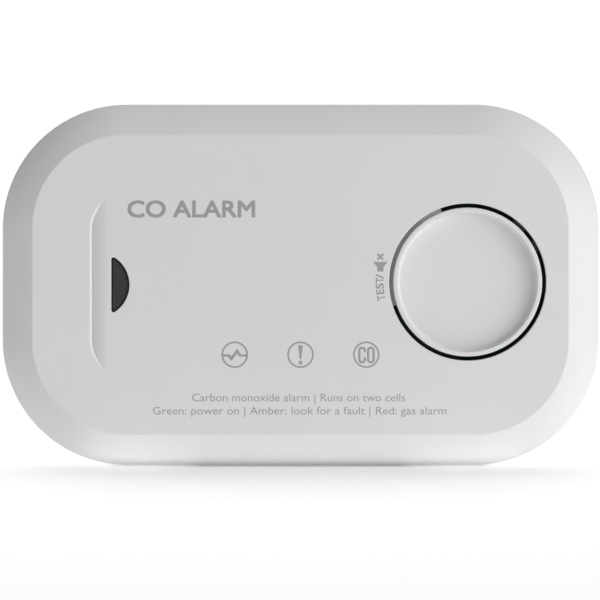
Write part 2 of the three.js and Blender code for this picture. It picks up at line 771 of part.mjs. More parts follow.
function tailSlot(z) {
  const x = -CONTACT.face;
  const half = TAIL.halfWidth + GAP;
  return box([x - 0.7, x + GAP], [BAY.floor[0] - 1, BAY.floor[1] + 1], [z - half, z + half]);
}

function rearCover() {
  const seam = SEAM_Y + GAP;
  const behind = box([-WIDTH, WIDTH], [seam, DEPTH], [-1, HEIGHT + 1]);
  const outer = chamferedPlate(caseOutline(0), [-BACK_Y, BACK_Y], BACK_BEVEL).intersect(behind);
  const hollow = chamferedPlate(caseOutline(WALL), [-BACK_Y, INNER_BACK_Y], BACK_BEVEL);
  const { inset, thickness, reach, root } = TONGUE;
  const tongue = ringWall(inset, inset + thickness, [seam - reach, seam + root]);
  const tongueRoot = ringWall(WALL - FUSE, inset + thickness, [seam, seam + root]);
  const columns = atCorners(CASE_SCREWS, (x, z) =>
    bar(x, z, CASE_SCREWS.column, [SEAM_Y - 2 + GAP, INNER_BACK_Y + FUSE]),
  );
  const hingeBlock = box(
    HINGE_BLOCK.x,
    [HINGE_BLOCK.front, INNER_BACK_Y + FUSE],
    [MIDDLE_Z - HINGE_BLOCK.halfHeight, MIDDLE_Z + HINGE_BLOCK.halfHeight],
  );
  const whole = join([
    outer.subtract(hollow),
    tongueRoot,
    tongue,
    ...columns,
    ...bothSides((side) => keyPocket(side * KEYHOLES.x, KEY_POCKET.wall)),
    bay(BAY.wall, [BAY.floor[0], INNER_BACK_Y + FUSE]),
    hingeBlock,
    latchWell(1),
  ]);
  const screwWells = atCorners(CASE_SCREWS, (x, z) =>
    bar(x, z, CASE_SCREWS.well, [CASE_SCREWS.seat, BACK_Y + 1]),
  );
  const screwHoles = atCorners(CASE_SCREWS, (x, z) =>
    bar(x, z, CASE_SCREW.shank + GAP, [SEAM_Y - 3, BACK_Y], 12),
  );
  const labelAcross = [-LABEL.halfWidth - 0.2, LABEL.halfWidth + 0.2];
  const labelTall = [LABEL.z[0] - 0.2, LABEL.z[1] + 0.2];
  return cut(whole, [
    ...screwWells,
    ...screwHoles,
    ...bothSides((side) => keyPocket(side * KEYHOLES.x, 0)),
    ...bothSides((side) => keyhole(side * KEYHOLES.x)).flat(),
    bay(0, [BAY.floor[1], BACK_Y + 1]),
    plate(doorPanelShape(GAP, HINGE_SIDE_GAP), [BACK_Y - REBATE_DEPTH, BACK_Y + 1], 2),
    ...knuckleMiddles.flatMap(knucklePocket),
    latchWell(0),
    ...CELL_ZS.map(tailSlot),
    plate(roundedRectangle(labelAcross, labelTall, LABEL.corner), [BACK_Y - LABEL.pocket, DEPTH], 2),
  ]);
}

function ratingLabel() {
  const { halfWidth, z, thickness, pocket, corner } = LABEL;
  const front = BACK_Y - pocket + 0.05;
  return plate(roundedRectangle([-halfWidth, halfWidth], z, corner), [front, front + thickness], 2);
}

// ---- screws, each along Y with its head to the back ----

function screw(x, z, headRadius, shankRadius, [tipY, seatY], headDepth) {
  const slot = { half: 0.3, depth: headDepth * 0.5 };
  const headY = seatY + headDepth;
  const made = turned([
    [0, tipY],
    [shankRadius, tipY + 1.5],
    [shankRadius, seatY],
    [headRadius, seatY],
    [headRadius, headY - 0.6],
    [headRadius - 0.6, headY],
    [0, headY],
  ], 12).translate([x, 0, z]);
  const reach = headRadius * 0.7;
  const slotY = [headY - slot.depth, headY + 1];
  return cut(made, [
    box([x - reach, x + reach], slotY, [z - slot.half, z + slot.half]),
    box([x - slot.half, x + slot.half], slotY, [z - reach, z + reach]),
  ]);
}

function caseScrew(x, z) {
  const { head, headDepth, shank, tipY } = CASE_SCREW;
  return screw(x, z, head, shank, [tipY, CASE_SCREWS.seat + GAP], headDepth);
}

function boardScrew(x, z) {
  const { head, shank, tipY } = BOARD_SCREWS;
  return screw(x, z, head, shank, [tipY, BOARD.back + GAP], 1.5);
}

// ---- finishes and assembly ----

const finishes = {
  whiteShell: { color: 0xdedede, roughness: 0.55 },
  whiteButton: { color: 0xe0e0e0, roughness: 0.5 },
  darkFoam: { color: 0x3a3a3a, roughness: 0.95 },
  blackPlastic: { color: 0x151515, roughness: 0.6 },
  greyPlastic: { color: 0xb9b9b6, roughness: 0.6 },
  clearPlastic: { color: 0xeaf2f2, roughness: 0.1, transparent: true, opacity: 0.4 },
  board: { color: 0x14502d, roughness: 0.5 },
  lampGreen: { color: 0x4fd36a, roughness: 0.3 },
  lampAmber: { color: 0xe6a53a, roughness: 0.3 },
  lampRed: { color: 0xd8372f, roughness: 0.3 },
  steel: { color: 0xb4b6b8, roughness: 0.35, metalness: 1 },
  nickel: { color: 0xc8c6be, roughness: 0.25, metalness: 1 },
  brass: { color: 0xc9a24f, roughness: 0.35, metalness: 1 },
  ceramic: { color: 0xd9d4c8, roughness: 0.6 },
  can: { color: 0x9fa3a7, roughness: 0.4, metalness: 1 },
  ferrite: { color: 0x33302e, roughness: 0.7 },
  sleeve: { color: 0x2f5f46, roughness: 0.35 },
  paper: { color: 0xd2d2d0, roughness: 0.6 },
};

const model = new THREE.Group();

function place(name, made, finish) {
  const mesh = new THREE.Mesh(geometryOf(made), new THREE.MeshStandardMaterial(finishes[finish]));
  mesh.name = name;
  model.add(mesh);
}

place("front_cover", frontCover(), "whiteShell");
place("rear_cover", rearCover(), "whiteShell");
place("battery_door", batteryDoor(), "whiteShell");
place("rating_label", ratingLabel(), "paper");
place("test_button", testButton(), "whiteButton");
place("test_switch_body", testSwitchBody(), "blackPlastic");
place("test_switch_plunger", testSwitchPlunger(), "greyPlastic");

place("gas_inlet_filter", gasInletFilter(), "darkFoam");
place("sensor_seal", sensorSeal(), "blackPlastic");
place("co_sensor_cap", sensorCap(), "greyPlastic");
place("co_sensor_body", sensorBody(), "steel");

place("sounder_chamber", sounderChamber(), "blackPlastic");
place("sounder_ring", sounderRing(), "blackPlastic");
place("piezo_plate", onSounderAxis(disc(PIEZO.radius, PIEZO.y)), "brass");
place("piezo_ceramic", onSounderAxis(disc(CERAMIC.radius, CERAMIC.y)), "ceramic");

place("light_shroud", lightShroud(), "blackPlastic");
const lampFinishes = { power: "lampGreen", fault: "lampAmber", alarm: "lampRed" };
for (const [use, x] of Object.entries(LAMPS.xs)) {
  place(`light_pipe_${use}`, lightPipe(x), "clearPlastic");
  place(`lamp_${use}`, lamp(x), lampFinishes[use]);
}

place("circuit_board", circuitBoard(), "board");
place("microcontroller", microcontroller(), "blackPlastic");
CAPACITORS.xs.forEach((x, i) => place(`capacitor_${i + 1}`, capacitor(x, CAPACITORS.z), "can"));
place("boost_inductor", boostInductor(), "ferrite");

place("battery_cell_1", cell(1, CELL_ZS[0]), "sleeve");
place("battery_cell_2", cell(-1, CELL_ZS[1]), "sleeve");
place("contact_negative", contactNegative(), "nickel");
place("contact_positive", contactPositive(), "nickel");
place("contact_bridge", contactBridge(), "nickel");

atCorners(CASE_SCREWS, caseScrew).forEach((made, i) => place(`cover_screw_${i + 1}`, made, "steel"));
atCorners(BOARD_SCREWS, boardScrew).forEach((made, i) => place(`board_screw_${i + 1}`, made, "steel"));

export default model;
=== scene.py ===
import math

import bmesh
import bpy
from mathutils import Matrix, Vector


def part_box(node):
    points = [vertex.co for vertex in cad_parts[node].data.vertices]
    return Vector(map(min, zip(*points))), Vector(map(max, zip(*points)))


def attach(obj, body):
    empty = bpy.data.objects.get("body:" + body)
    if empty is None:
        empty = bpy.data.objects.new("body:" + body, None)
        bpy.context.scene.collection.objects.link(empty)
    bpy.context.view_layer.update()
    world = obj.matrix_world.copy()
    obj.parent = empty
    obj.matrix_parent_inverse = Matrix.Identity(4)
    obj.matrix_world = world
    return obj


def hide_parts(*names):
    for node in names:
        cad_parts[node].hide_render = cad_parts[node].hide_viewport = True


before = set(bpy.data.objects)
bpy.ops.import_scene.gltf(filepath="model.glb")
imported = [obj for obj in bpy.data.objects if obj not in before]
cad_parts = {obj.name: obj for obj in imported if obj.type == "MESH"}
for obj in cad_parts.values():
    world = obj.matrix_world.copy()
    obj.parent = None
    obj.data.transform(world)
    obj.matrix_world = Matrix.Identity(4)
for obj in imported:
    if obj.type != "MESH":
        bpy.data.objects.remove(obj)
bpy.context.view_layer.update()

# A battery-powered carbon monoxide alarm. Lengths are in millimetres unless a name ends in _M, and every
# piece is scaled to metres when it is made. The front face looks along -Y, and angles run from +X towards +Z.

MM = 0.001


def centre_of(node):
    low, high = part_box(node)
    return (low + high) / 2 / MM


# ---- camera: level with the middle of the casing, with VIEW_WIDTH_M measured at OUTLINE_Y ----

CAMERA_DISTANCE_M = 1.2
VIEW_WIDTH_M = 0.12087
SENSOR_WIDTH = 36
LEFT_SHIFT = -0.0008
RAISED_SHIFT = -0.0254

case_low, case_high = [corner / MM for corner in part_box("front_cover")]
MIDDLE_Z = (case_low.z + case_high.z) / 2
OUTLINE_Y = case_low.y + 5

camera_data = bpy.data.cameras.new("camera")
camera_data.sensor_width = SENSOR_WIDTH
camera_data.lens = SENSOR_WIDTH * CAMERA_DISTANCE_M / VIEW_WIDTH_M
camera_data.shift_x = LEFT_SHIFT
camera_data.shift_y = RAISED_SHIFT
camera_data.clip_start = 0.01
camera = bpy.data.objects.new("camera", camera_data)
camera.location = (0, OUTLINE_Y * MM - CAMERA_DISTANCE_M, MIDDLE_Z * MM)
camera.rotation_euler = (math.pi / 2, 0, 0)
bpy.context.scene.collection.objects.link(camera)
bpy.context.scene.camera = camera

# ---- dimensions ----

WIDTH = case_high.x - case_low.x
HEIGHT = case_high.z - case_low.z
FACE_Y = case_low.y
BACK_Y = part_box("rear_cover")[1].y / MM
SEAM_Y = case_high.y
GAP = 0.3
WALL = 2.2
BACK_WALL = 2
CORNER_RADIUS = 25
CORNER_STEPS = 30
INNER_FACE_Y = FACE_Y + WALL
INNER_BACK_Y = BACK_Y - BACK_WALL

BUTTON_X, BUTTON_Z = 33.54, 36.85
BUTTON_RADIUS = 14.94
BUTTON_HOLE_RADIUS = 15.77
PIVOT_ANGLE = 154
BOARD_FRONT_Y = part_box("circuit_board")[0].y / MM
ON_BOARD_Y = BOARD_FRONT_Y - GAP
MERGE_DISTANCE = 1e-5
LAMP_Z = centre_of("light_pipe_fault").z
LAMP_XS = [centre_of("light_pipe_" + use).x for use in ("power", "fault", "alarm")]
SENSOR = centre_of("co_sensor_cap")
BOTH = (1, -1)
CASE_SCREWS = [(side * 47, z) for side in BOTH for z in (14, 58.6)]
BOARD_SCREWS = [(side * 28, z) for side in BOTH for z in (11.2, 61.4)]
CASE_PILOT, BOARD_PILOT = 1.55, 1.2

# ---- solids ----


def rounded_path(corners, closed=False, step=10):
    """Points along straight lines between corners (u, v, radius), with each corner rounded to its radius."""
    path = []
    count = len(corners)
    for i, (u, v, radius) in enumerate(corners):
        here = Vector((u, v))
        if radius == 0 or (not closed and i in (0, count - 1)):
            path.append((u, v))
            continue
        before = Vector(corners[i - 1][:2]) - here
        after = Vector(corners[(i + 1) % count][:2]) - here
        a, b = before.normalized(), after.normalized()
        turn = math.pi - a.angle(b)
        tangent = radius * math.tan(turn / 2)
        start, end = here + a * tangent, here + b * tangent
        middle = here + (a + b).normalized() * (radius / math.cos(turn / 2))
        steps = max(2, math.ceil(math.degrees(turn) / step))
        first = start - middle
        sweep = math.atan2(first.cross(end - middle), first.dot(end - middle))
        for k in range(steps + 1):
            angle = sweep * k / steps
            c, s = math.cos(angle), math.sin(angle)
            path.append((middle.x + first.x * c - first.y * s, middle.y + first.x * s + first.y * c))
    return path


def arc(cx, cz, radius, start, end, steps):
    """Points on an arc, in degrees, both ends included."""
    angles = [math.radians(start + (end - start) * k / steps) for k in range(steps + 1)]
    return [(cx + radius * math.cos(a), cz + radius * math.sin(a)) for a in angles]


def circle(x, z, radius, steps=48):
    return lambda inset=0: arc(x, z, radius - inset, 0, 360, steps)[:-1]


def rounded_rectangle(x0, x1, z0, z1, radius, steps=6):
    def outline(inset=0):
        r = max(radius - inset, 0.02)
        left, right, low, high = x0 + inset + r, x1 - inset - r, z0 + inset + r, z1 - inset - r
        return (
            arc(right, low, r, -90, 0, steps)
            + arc(right, high, r, 0, 90, steps)
            + arc(left, high, r, 90, 180, steps)
            + arc(left, low, r, 180, 270, steps)
        )

    return outline


case_outline = rounded_rectangle(-WIDTH / 2, WIDTH / 2, 0, HEIGHT, CORNER_RADIUS, CORNER_STEPS)


def built(vertices, faces):
    """A loose work object, in millimetres, with its faces turned outwards."""
    mesh = bpy.data.meshes.new("work")
    mesh.from_pydata(vertices, [], faces)
    work = bmesh.new()
    work.from_mesh(mesh)
    bmesh.ops.remove_doubles(work, verts=work.verts, dist=MERGE_DISTANCE)
    bmesh.ops.recalc_face_normals(work, faces=work.faces)
    if work.calc_volume(signed=True) < 0:
        bmesh.ops.reverse_faces(work, faces=work.faces)
    work.to_mesh(mesh)
    work.free()
    made = bpy.data.objects.new("work", mesh)
    bpy.context.scene.collection.objects.link(made)
    return made


def loft(rings, closed=False):
    count, last = len(rings[0]), len(rings) - 1
    vertices = [point for ring in rings for point in ring]
    faces = []
    for i in range(len(rings) if closed else last):
        a, b = i * count, (i + 1) % len(rings) * count
        for k in range(count):
            n = (k + 1) % count
            faces.append((a + k, a + n, b + n, b + k))
    if not closed:
        faces.append(tuple(range(count)))
        faces.append(tuple(range(last * count, last * count + count)))
    return built(vertices, faces)


def swept(outline, profile, closed=False):
    """An outline carried along a profile of (inset, y) points."""
    return loft([[(x, y, z) for x, z in outline(inset)] for inset, y in profile], closed)


def prism(points, y0, y1):
    return loft([[(x, y, z) for x, z in points] for y in (y0, y1)])


def turned(profile, x=0, z=0, steps=48, closed=False):
    """A profile of (radius, y) points turned about the line through x and z along Y."""
    return swept(circle(x, z, 0, steps), [(-r, y) for r, y in profile], closed)


def bar(x, z, radius, y0, y1, steps=32):
    return turned([(radius, y0), (radius, y1)], x, z, steps)


def block(x0, x1, y0, y1, z0, z1):
    return prism([(x0, z0), (x1, z0), (x1, z1), (x0, z1)], y0, y1)


def moved(work, matrix):
    work.data.transform(matrix)
    return work


def about_button(work, degrees=0):
    turn = Matrix.Rotation(-math.radians(degrees), 4, "Y")
    return moved(work, Matrix.Translation((BUTTON_X, 0, BUTTON_Z)) @ turn)


def along_pivot(reach):
    angle = math.radians(PIVOT_ANGLE)
    return BUTTON_X + reach * math.cos(angle), BUTTON_Z + reach * math.sin(angle)


def upright(radius, x, y, z0, z1, steps=24):
    """A round bar along Z."""
    return moved(
        turned([(radius, -z1), (radius, -z0)], 0, 0, steps),
        Matrix.Translation((x, y, 0)) @ Matrix.Rotation(-math.pi / 2, 4, "X"),
    )


def across(work):
    """Lays a work object made along Y along X instead; what was its X becomes Y."""
    work.data.transform(Matrix(((0, 1, 0, 0), (1, 0, 0, 0), (0, 0, 1, 0), (0, 0, 0, 1))))
    work.data.flip_normals()
    return work


def shaped(base, add=(), cut=(), keep=()):
    """The base joined with some work objects, cut by others and kept inside others, which are all used up."""
    for operation, operands in (("UNION", add), ("DIFFERENCE", cut), ("INTERSECT", keep)):
        for operand in operands:
            step = base.modifiers.new("step", "BOOLEAN")
            step.operation = operation
            step.solver = "MANIFOLD"
            step.object = operand
    mesh = bpy.data.meshes.new_from_object(base.evaluated_get(bpy.context.evaluated_depsgraph_get()))
    for used in (*add, *cut, *keep):
        bpy.data.meshes.remove(used.data)
    base.modifiers.clear()
    base.data = mesh
    return base


SMOOTH_DEGREES = 32


def smooth(mesh, degrees):
    """Rounds the shading over every edge that turns less than the given angle."""
    mesh.polygons.foreach_set("use_smooth", [True] * len(mesh.polygons))
    mesh.set_sharp_from_angle(angle=math.radians(degrees))


def piece(name, work, material, body="housing", replaces=(), weighted=True):
    """Turns a work object into a finished piece of the alarm."""
    work.name = work.data.name = name
    work.data.transform(Matrix.Scale(MM, 4))
    smooth(work.data, SMOOTH_DEGREES)
    work.data.materials.clear()
    work.data.materials.append(material)
    if weighted:
        flatten = work.modifiers.new("flat_faces", "WEIGHTED_NORMAL")
        flatten.keep_sharp = True
        flatten.weight = 100
    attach(work, body)
    if replaces:
        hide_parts(*replaces)
    return work


def flared(radius, face_y, end_y, outwards):
    """A cutter's profile whose opening is rounded off; outwards is -1 at the front and 1 at the back."""
    steps = 6
    rounding = [
        (radius * (math.sin(a) - 1), face_y - outwards * radius * (1 - math.cos(a)))
        for a in [math.radians(k * 90 / steps) for k in range(steps + 1)]
    ]
    return [(-radius, face_y + outwards), *rounding, (0, end_y)]


# ---- finishes ----


class Recipe:
    """Builds one node material around a Principled shader; textures are in metres of the part's own frame."""

    def __init__(self, name, **values):
        self.material = bpy.data.materials.new(name)
        self.material.use_nodes = True
        self.nodes = self.material.node_tree.nodes
        self.links = self.material.node_tree.links
        self.shader = self.nodes["Principled BSDF"]
        for socket, value in values.items():
            self.shader.inputs[socket.replace("_", " ")].default_value = value
        self.place = self.add("ShaderNodeTexCoord").outputs["Object"]

    def add(self, kind, inputs=(), **settings):
        made = self.nodes.new(kind)
        for key, value in settings.items():
            setattr(made, key, value)
        for key, value in dict(inputs).items():
            self.plug(value, made.inputs[key])
        return made

    def plug(self, value, socket):
        if isinstance(value, bpy.types.NodeSocket):
            self.links.new(value, socket)
        else:
            socket.default_value = value

    def stretched(self, x, y, z, turn=0):
        inputs = {"Vector": self.place, "Scale": (x, y, z), "Rotation": (0, turn, 0)}
        return self.add("ShaderNodeMapping", inputs).outputs[0]

    def noise(self, scale, detail=3, rough=0.5, place=None, distortion=0):
        inputs = {
            "Vector": place or self.place,
            "Scale": scale,
            "Detail": detail,
            "Roughness": rough,
            "Distortion": distortion,
        }
        return self.add("ShaderNodeTexNoise", inputs).outputs[0]

    def cells(self, scale, feature="F1", place=None):
        inputs = {"Vector": place or self.place, "Scale": scale}
        return self.add("ShaderNodeTexVoronoi", inputs, feature=feature).outputs["Distance"]

    def spread(self, value, low, high, start=0.3, end=0.7):
        inputs = {"Value": value, "From Min": start, "From Max": end, "To Min": low, "To Max": high}
        return self.add("ShaderNodeMapRange", inputs).outputs[0]

    def maths(self, operation, a, b):
        return self.add("ShaderNodeMath", {0: a, 1: b}, operation=operation).outputs[0]

    def mixed(self, factor, a, b, mode="MIX"):
        made = self.add("ShaderNodeMix", data_type="RGBA", blend_type=mode)
        self.plug(factor, made.inputs[0])
        self.plug(a, made.inputs[6])
        self.plug(b, made.inputs[7])
        return made.outputs[2]

    def dimmed(self, colour, share):
        """A colour multiplied by a share that varies over the surface."""
        shade = self.add("ShaderNodeCombineColor", {0: share, 1: share, 2: share}).outputs[0]
        return self.mixed(1.0, colour, shade, "MULTIPLY")

    def ramp(self, factor, stops):
        made = self.add("ShaderNodeValToRGB", {"Fac": factor})
        elements = made.color_ramp.elements
        while len(elements) < len(stops):
            elements.new(0.5)
        for element, (position, colour) in zip(elements, stops):
            element.position = position
            element.color = colour
        return made.outputs[0]

    def colour(self, value):
        self.plug(value, self.shader.inputs["Base Color"])

    def roughness(self, value):
        self.plug(value, self.shader.inputs["Roughness"])

    def bump(self, *layers):
        """Each layer is a height, its depth in metres and its strength."""
        normal = None
        for height, depth, strength in layers:
            inputs = {"Height": height, "Distance": depth, "Strength": strength}
            if normal:
                inputs["Normal"] = normal
            normal = self.add("ShaderNodeBump", inputs).outputs[0]
        self.plug(normal, self.shader.inputs["Normal"])


def grey(level, warmth=0.0):
    """An opaque colour from an sRGB grey level of 0 to 255, a little warmer or cooler."""
    def linear(c):
        c = max(0.0, min(1.0, c))
        return c / 12.92 if c <= 0.04045 else ((c + 0.055) / 1.055) ** 2.4
    share = level / 255
    return (linear(share * (1 + warmth)), linear(share), linear(share * (1 - warmth)), 1)


def rgb(r, g, b):
    return tuple(grey(c)[0] for c in (r, g, b)) + (1,)


def moulded(name, light, dark, rough, grain=0.5, gloss_spread=0.06, mottle=45, **values):
    """Spark-eroded moulded plastic: a faint cloudiness, a fine pebbled grain and a slightly uneven gloss."""
    r = Recipe(name, **values)
    cloud = r.noise(mottle, 4, 0.55)
    pebbles = r.cells(3600, "SMOOTH_F1")
    fine = r.noise(5200, 2, 0.6)
    tone = r.mixed(r.spread(cloud, 0, 1), dark, light)
    speck = r.spread(fine, 0.965, 1.0, 0.25, 0.5)
    r.colour(r.dimmed(tone, speck))
    r.roughness(r.spread(r.noise(420, 3, 0.6), rough - gloss_spread, rough + gloss_spread))
    r.bump((pebbles, 0.00003, grain), (fine, 0.00002, grain), (r.noise(90, 2), 0.0002, 0.05))
    return r.material


def metal(name, light, dark, rough, brushed=(2600, 2600, 60), depth=0.00001, **values):
    """Rolled or plated metal with fine lines along one direction, and faint stains."""
    r = Recipe(name, Metallic=1.0, **values)
    lines = r.noise(1, 3, 0.7, r.stretched(*brushed))
    stains = r.noise(160, 4, 0.6, distortion=0.4)
    r.colour(r.mixed(r.spread(stains, 0, 1), dark, light))
    r.roughness(r.maths("ADD", r.spread(lines, rough - 0.07, rough + 0.09), r.spread(stains, -0.04, 0.05)))
    r.bump((lines, depth, 0.5), (r.noise(700, 2), 0.00002, 0.15))
    return r.material


def filter_felt():
    r = Recipe("filter_felt", Specular_IOR_Level=0.15, Sheen_Weight=0.1, Sheen_Roughness=0.6)
    fibres = r.noise(1, 4, 0.75, r.stretched(2600, 900, 1100, 0.6), 1.5)
    other = r.noise(1, 4, 0.75, r.stretched(1000, 900, 2800, -0.5), 1.5)
    web = r.maths("MAXIMUM", fibres, other)
    r.colour(r.ramp(web, [(0.35, grey(44)), (0.62, grey(66)), (0.8, grey(78))]))
    r.roughness(r.spread(web, 0.98, 0.86))
    r.bump((web, 0.00009, 0.7), (r.noise(260, 3), 0.0001, 0.3))
    return r.material


def rubber():
    r = Recipe("black_rubber_finish", Specular_IOR_Level=0.3)
    dust = r.noise(900, 4, 0.7)
    r.colour(r.mixed(r.spread(dust, 0, 1, 0.45, 0.8), grey(24), grey(44)))
    r.roughness(r.spread(dust, 0.78, 0.92))
    r.bump((dust, 0.00004, 0.5), (r.cells(2400), 0.00002, 0.3))
    return r.material


def paper():
    r = Recipe("label_film", Specular_IOR_Level=0.35)
    fibres = r.noise(1, 4, 0.6, r.stretched(500, 900, 2400))
    r.colour(r.mixed(r.spread(fibres, 0, 1), grey(206, 0.004), grey(214, 0.002)))
    r.roughness(r.spread(fibres, 0.42, 0.55))
    r.bump((fibres, 0.00001, 0.3), (r.noise(60, 2), 0.0001, 0.1))
    return r.material


def ink(name, level, spread=3):
    r = Recipe(name, Specular_IOR_Level=0.35)
    dots = r.cells(5200, "SMOOTH_F1")
    cover = r.noise(1500, 3, 0.7)
    r.colour(r.mixed(r.spread(cover, 0, 1), grey(level - spread), grey(level + spread)))
    r.roughness(r.spread(cover, 0.48, 0.62))
    r.bump((dots, 0.000008, 0.4), (cover, 0.000006, 0.3))
    return r.material


def solder_mask():
    r = Recipe("solder_mask", Specular_IOR_Level=0.5, Coat_Weight=0.3, Coat_Roughness=0.15)
    tracks = r.add(
        "ShaderNodeTexBrick",
        {"Vector": r.stretched(1, 0, 1, 0), "Scale": 420, "Mortar Size": 0.04, "Mortar Smooth": 0.1,
         "Brick Width": 0.9, "Row Height": 0.36, "Color1": (0, 0, 0, 1), "Color2": (0.6, 0.6, 0.6, 1),
         "Mortar": (1, 1, 1, 1)},
    ).outputs[1]
    vias = r.maths("LESS_THAN", r.cells(300), 0.13)
    base = r.mixed(r.spread(r.noise(300, 4, 0.6), 0, 1), rgb(12, 66, 38), rgb(18, 84, 48))
    traced = r.mixed(tracks, base, rgb(40, 116, 70))
    r.colour(r.mixed(vias, traced, rgb(196, 176, 120)))
    r.roughness(r.spread(r.noise(800, 3), 0.28, 0.42))
    r.bump((tracks, 0.00004, 0.6), (r.cells(4200), 0.00001, 0.3))
    return r.material


def lens_clear():
    r = Recipe("light_guide", IOR=1.49, Transmission_Weight=1.0, Roughness=0.05)
    flow = r.noise(220, 3, 0.5, distortion=1.0)
    r.colour(r.mixed(r.spread(flow, 0, 1), grey(236), grey(248)))
    r.roughness(r.spread(r.noise(1200, 3, 0.7), 0.03, 0.14))
    r.bump((flow, 0.00005, 0.2), (r.noise(2600, 2), 0.000004, 0.3))
    return r.material


def lamp_body(name, tint, deep):
    r = Recipe(name, IOR=1.5, Transmission_Weight=0.35)
    depth = r.noise(600, 3, 0.5)
    r.colour(r.mixed(r.spread(depth, 0, 1), deep, tint))
    r.roughness(r.spread(r.noise(1800, 3), 0.12, 0.3))
    r.bump((depth, 0.00003, 0.25))
    return r.material


def ceramic():
    r = Recipe("piezo_silvering", Specular_IOR_Level=0.5)
    grains = r.cells(5200)
    r.colour(r.mixed(r.spread(grains, 0, 1, 0.1, 0.7), rgb(224, 220, 208), rgb(205, 200, 186)))
    r.roughness(r.spread(grains, 0.45, 0.65, 0.1, 0.7))
    r.bump((grains, 0.00001, 0.6), (r.noise(500, 3), 0.00002, 0.3))
    return r.material


def ferrite():
    r = Recipe("ferrite_core", Specular_IOR_Level=0.4)
    grains = r.noise(2600, 4, 0.75)
    r.colour(r.ramp(grains, [(0.35, rgb(32, 30, 29)), (0.6, rgb(58, 55, 52)), (0.8, rgb(84, 80, 77))]))
    r.roughness(r.spread(grains, 0.6, 0.85))
    r.bump((grains, 0.00005, 0.6))
    return r.material


CELL_HALF_M = 0.025


def cell_film(name, side):
    """The printed film round a cell: green, with a copper band towards its nub and a pale rule between."""
    r = Recipe(name, Specular_IOR_Level=0.5, Coat_Weight=0.35, Coat_Roughness=0.12)
    along = r.add("ShaderNodeSeparateXYZ", {"Vector": r.place}).outputs[0]
    share = r.spread(along, 0.5 - side / 2, 0.5 + side / 2, -CELL_HALF_M, CELL_HALF_M)
    green, pale, copper = rgb(34, 86, 66), rgb(200, 204, 198), rgb(190, 128, 68)
    bands = r.ramp(share, [(0.66, green), (0.665, pale), (0.68, pale), (0.685, copper), (1, copper)])
    r.colour(r.dimmed(bands, r.spread(r.noise(500, 3), 0.88, 1.0)))
    r.roughness(r.spread(r.noise(700, 3), 0.24, 0.36))
    r.bump((r.noise(180, 3), 0.00006, 0.25), (r.noise(2600, 2), 0.000004, 0.3))
    return r.material


FINISHES = {
    "housing": moulded("housing_white", grey(224), grey(222), 0.5, 0.22, Specular_IOR_Level=0.4),
    "button": moulded("button_white", grey(226), grey(224), 0.44, 0.14, Specular_IOR_Level=0.45),
    "felt": filter_felt(),
    "rubber": rubber(),
    "paper": paper(),
    "ink": ink("grey_ink", 160),
    "dark_ink": ink("dark_ink", 70, 6),
    "board": solder_mask(),
    "epoxy": moulded("epoxy_black", grey(40), grey(30), 0.55, 0.6, 0.1, 300, Specular_IOR_Level=0.4),
    "black": moulded("black_plastic_finish", grey(33), grey(27), 0.55, 0.45, 0.08, 120, Specular_IOR_Level=0.35),
    "grey": moulded("grey_plastic_finish", grey(186), grey(178), 0.5, 0.35, 0.07, 150),
    "stops_painted_shade": moulded("stops_painted_shade", grey(92), grey(84), 0.55, 0.45, 0.08, 120, Specular_IOR_Level=0.35),
    "clear": lens_clear(),
    "green": lamp_body("lamp_green_resin", rgb(110, 214, 128), rgb(70, 180, 92)),
    "amber": lamp_body("lamp_amber_resin", rgb(236, 176, 84), rgb(214, 140, 48)),
    "red": lamp_body("lamp_red_resin", rgb(222, 74, 62), rgb(184, 40, 34)),
    "ceramic": ceramic(),
    "ferrite": ferrite(),
    "film_1": cell_film("cell_film_1", 1),
    "film_2": cell_film("cell_film_2", -1),
    "steel": metal("zinc_steel", rgb(190, 192, 195), rgb(168, 170, 174), 0.34, (900, 900, 900)),
    "nickel": metal("nickel_strip", rgb(206, 203, 194), rgb(186, 182, 172), 0.27, (60, 2600, 2600)),
    "brass": metal("brass_disc", rgb(206, 168, 92), rgb(184, 144, 70), 0.33, (60, 2600, 2600)),
    "can": metal("sensor_shell", rgb(178, 181, 185), rgb(158, 161, 166), 0.38, (2600, 60, 2600)),
    "sleeved_can": metal("capacitor_shell", rgb(176, 180, 186), rgb(150, 154, 160), 0.3, (2600, 60, 2600)),
}

# ---- front cover ----

FACE_INSET = 6.2
BEVEL_DEPTH = 5
FACE_TILT, OUTER_TILT = 30, 50
INLET_FLAT_X, INLET_APEX_X, INLET_HALF = -37.97, -34.33, 5.85
TIP_RADIUS = 0.45


def bevel_knee():
    """Where the bevel's tangents at its inner and outer edge cross, as (inset, y)."""
    inner = Vector((math.cos(math.radians(FACE_TILT)), -math.sin(math.radians(FACE_TILT))))
    outer = Vector((math.cos(math.radians(OUTER_TILT)), -math.sin(math.radians(OUTER_TILT))))
    share = (FACE_INSET * outer.y + BEVEL_DEPTH * outer.x) / (inner.x * outer.y - inner.y * outer.x)
    return FACE_INSET - share * inner.x, FACE_Y - share * inner.y


def inlet_outline(inset=0):
    """A half-moon with rounded tips, flat on its left side."""
    rise = INLET_APEX_X - INLET_FLAT_X
    radius = (rise**2 + INLET_HALF**2) / (2 * rise)
    centre_x = INLET_APEX_X - radius
    near, far = INLET_FLAT_X + TIP_RADIUS, radius - TIP_RADIUS
    half = math.degrees(math.acos((near - centre_x) / far))
    tip_z = far * math.sin(math.radians(half))
    tip = TIP_RADIUS - inset
    return (
        arc(near, MIDDLE_Z - tip_z, tip, -180, -half, 10)
        + arc(centre_x, MIDDLE_Z, radius - inset, -half, half, 30)[1:-1]
        + arc(near, MIDDLE_Z + tip_z, tip, half, 180, 10)
    )


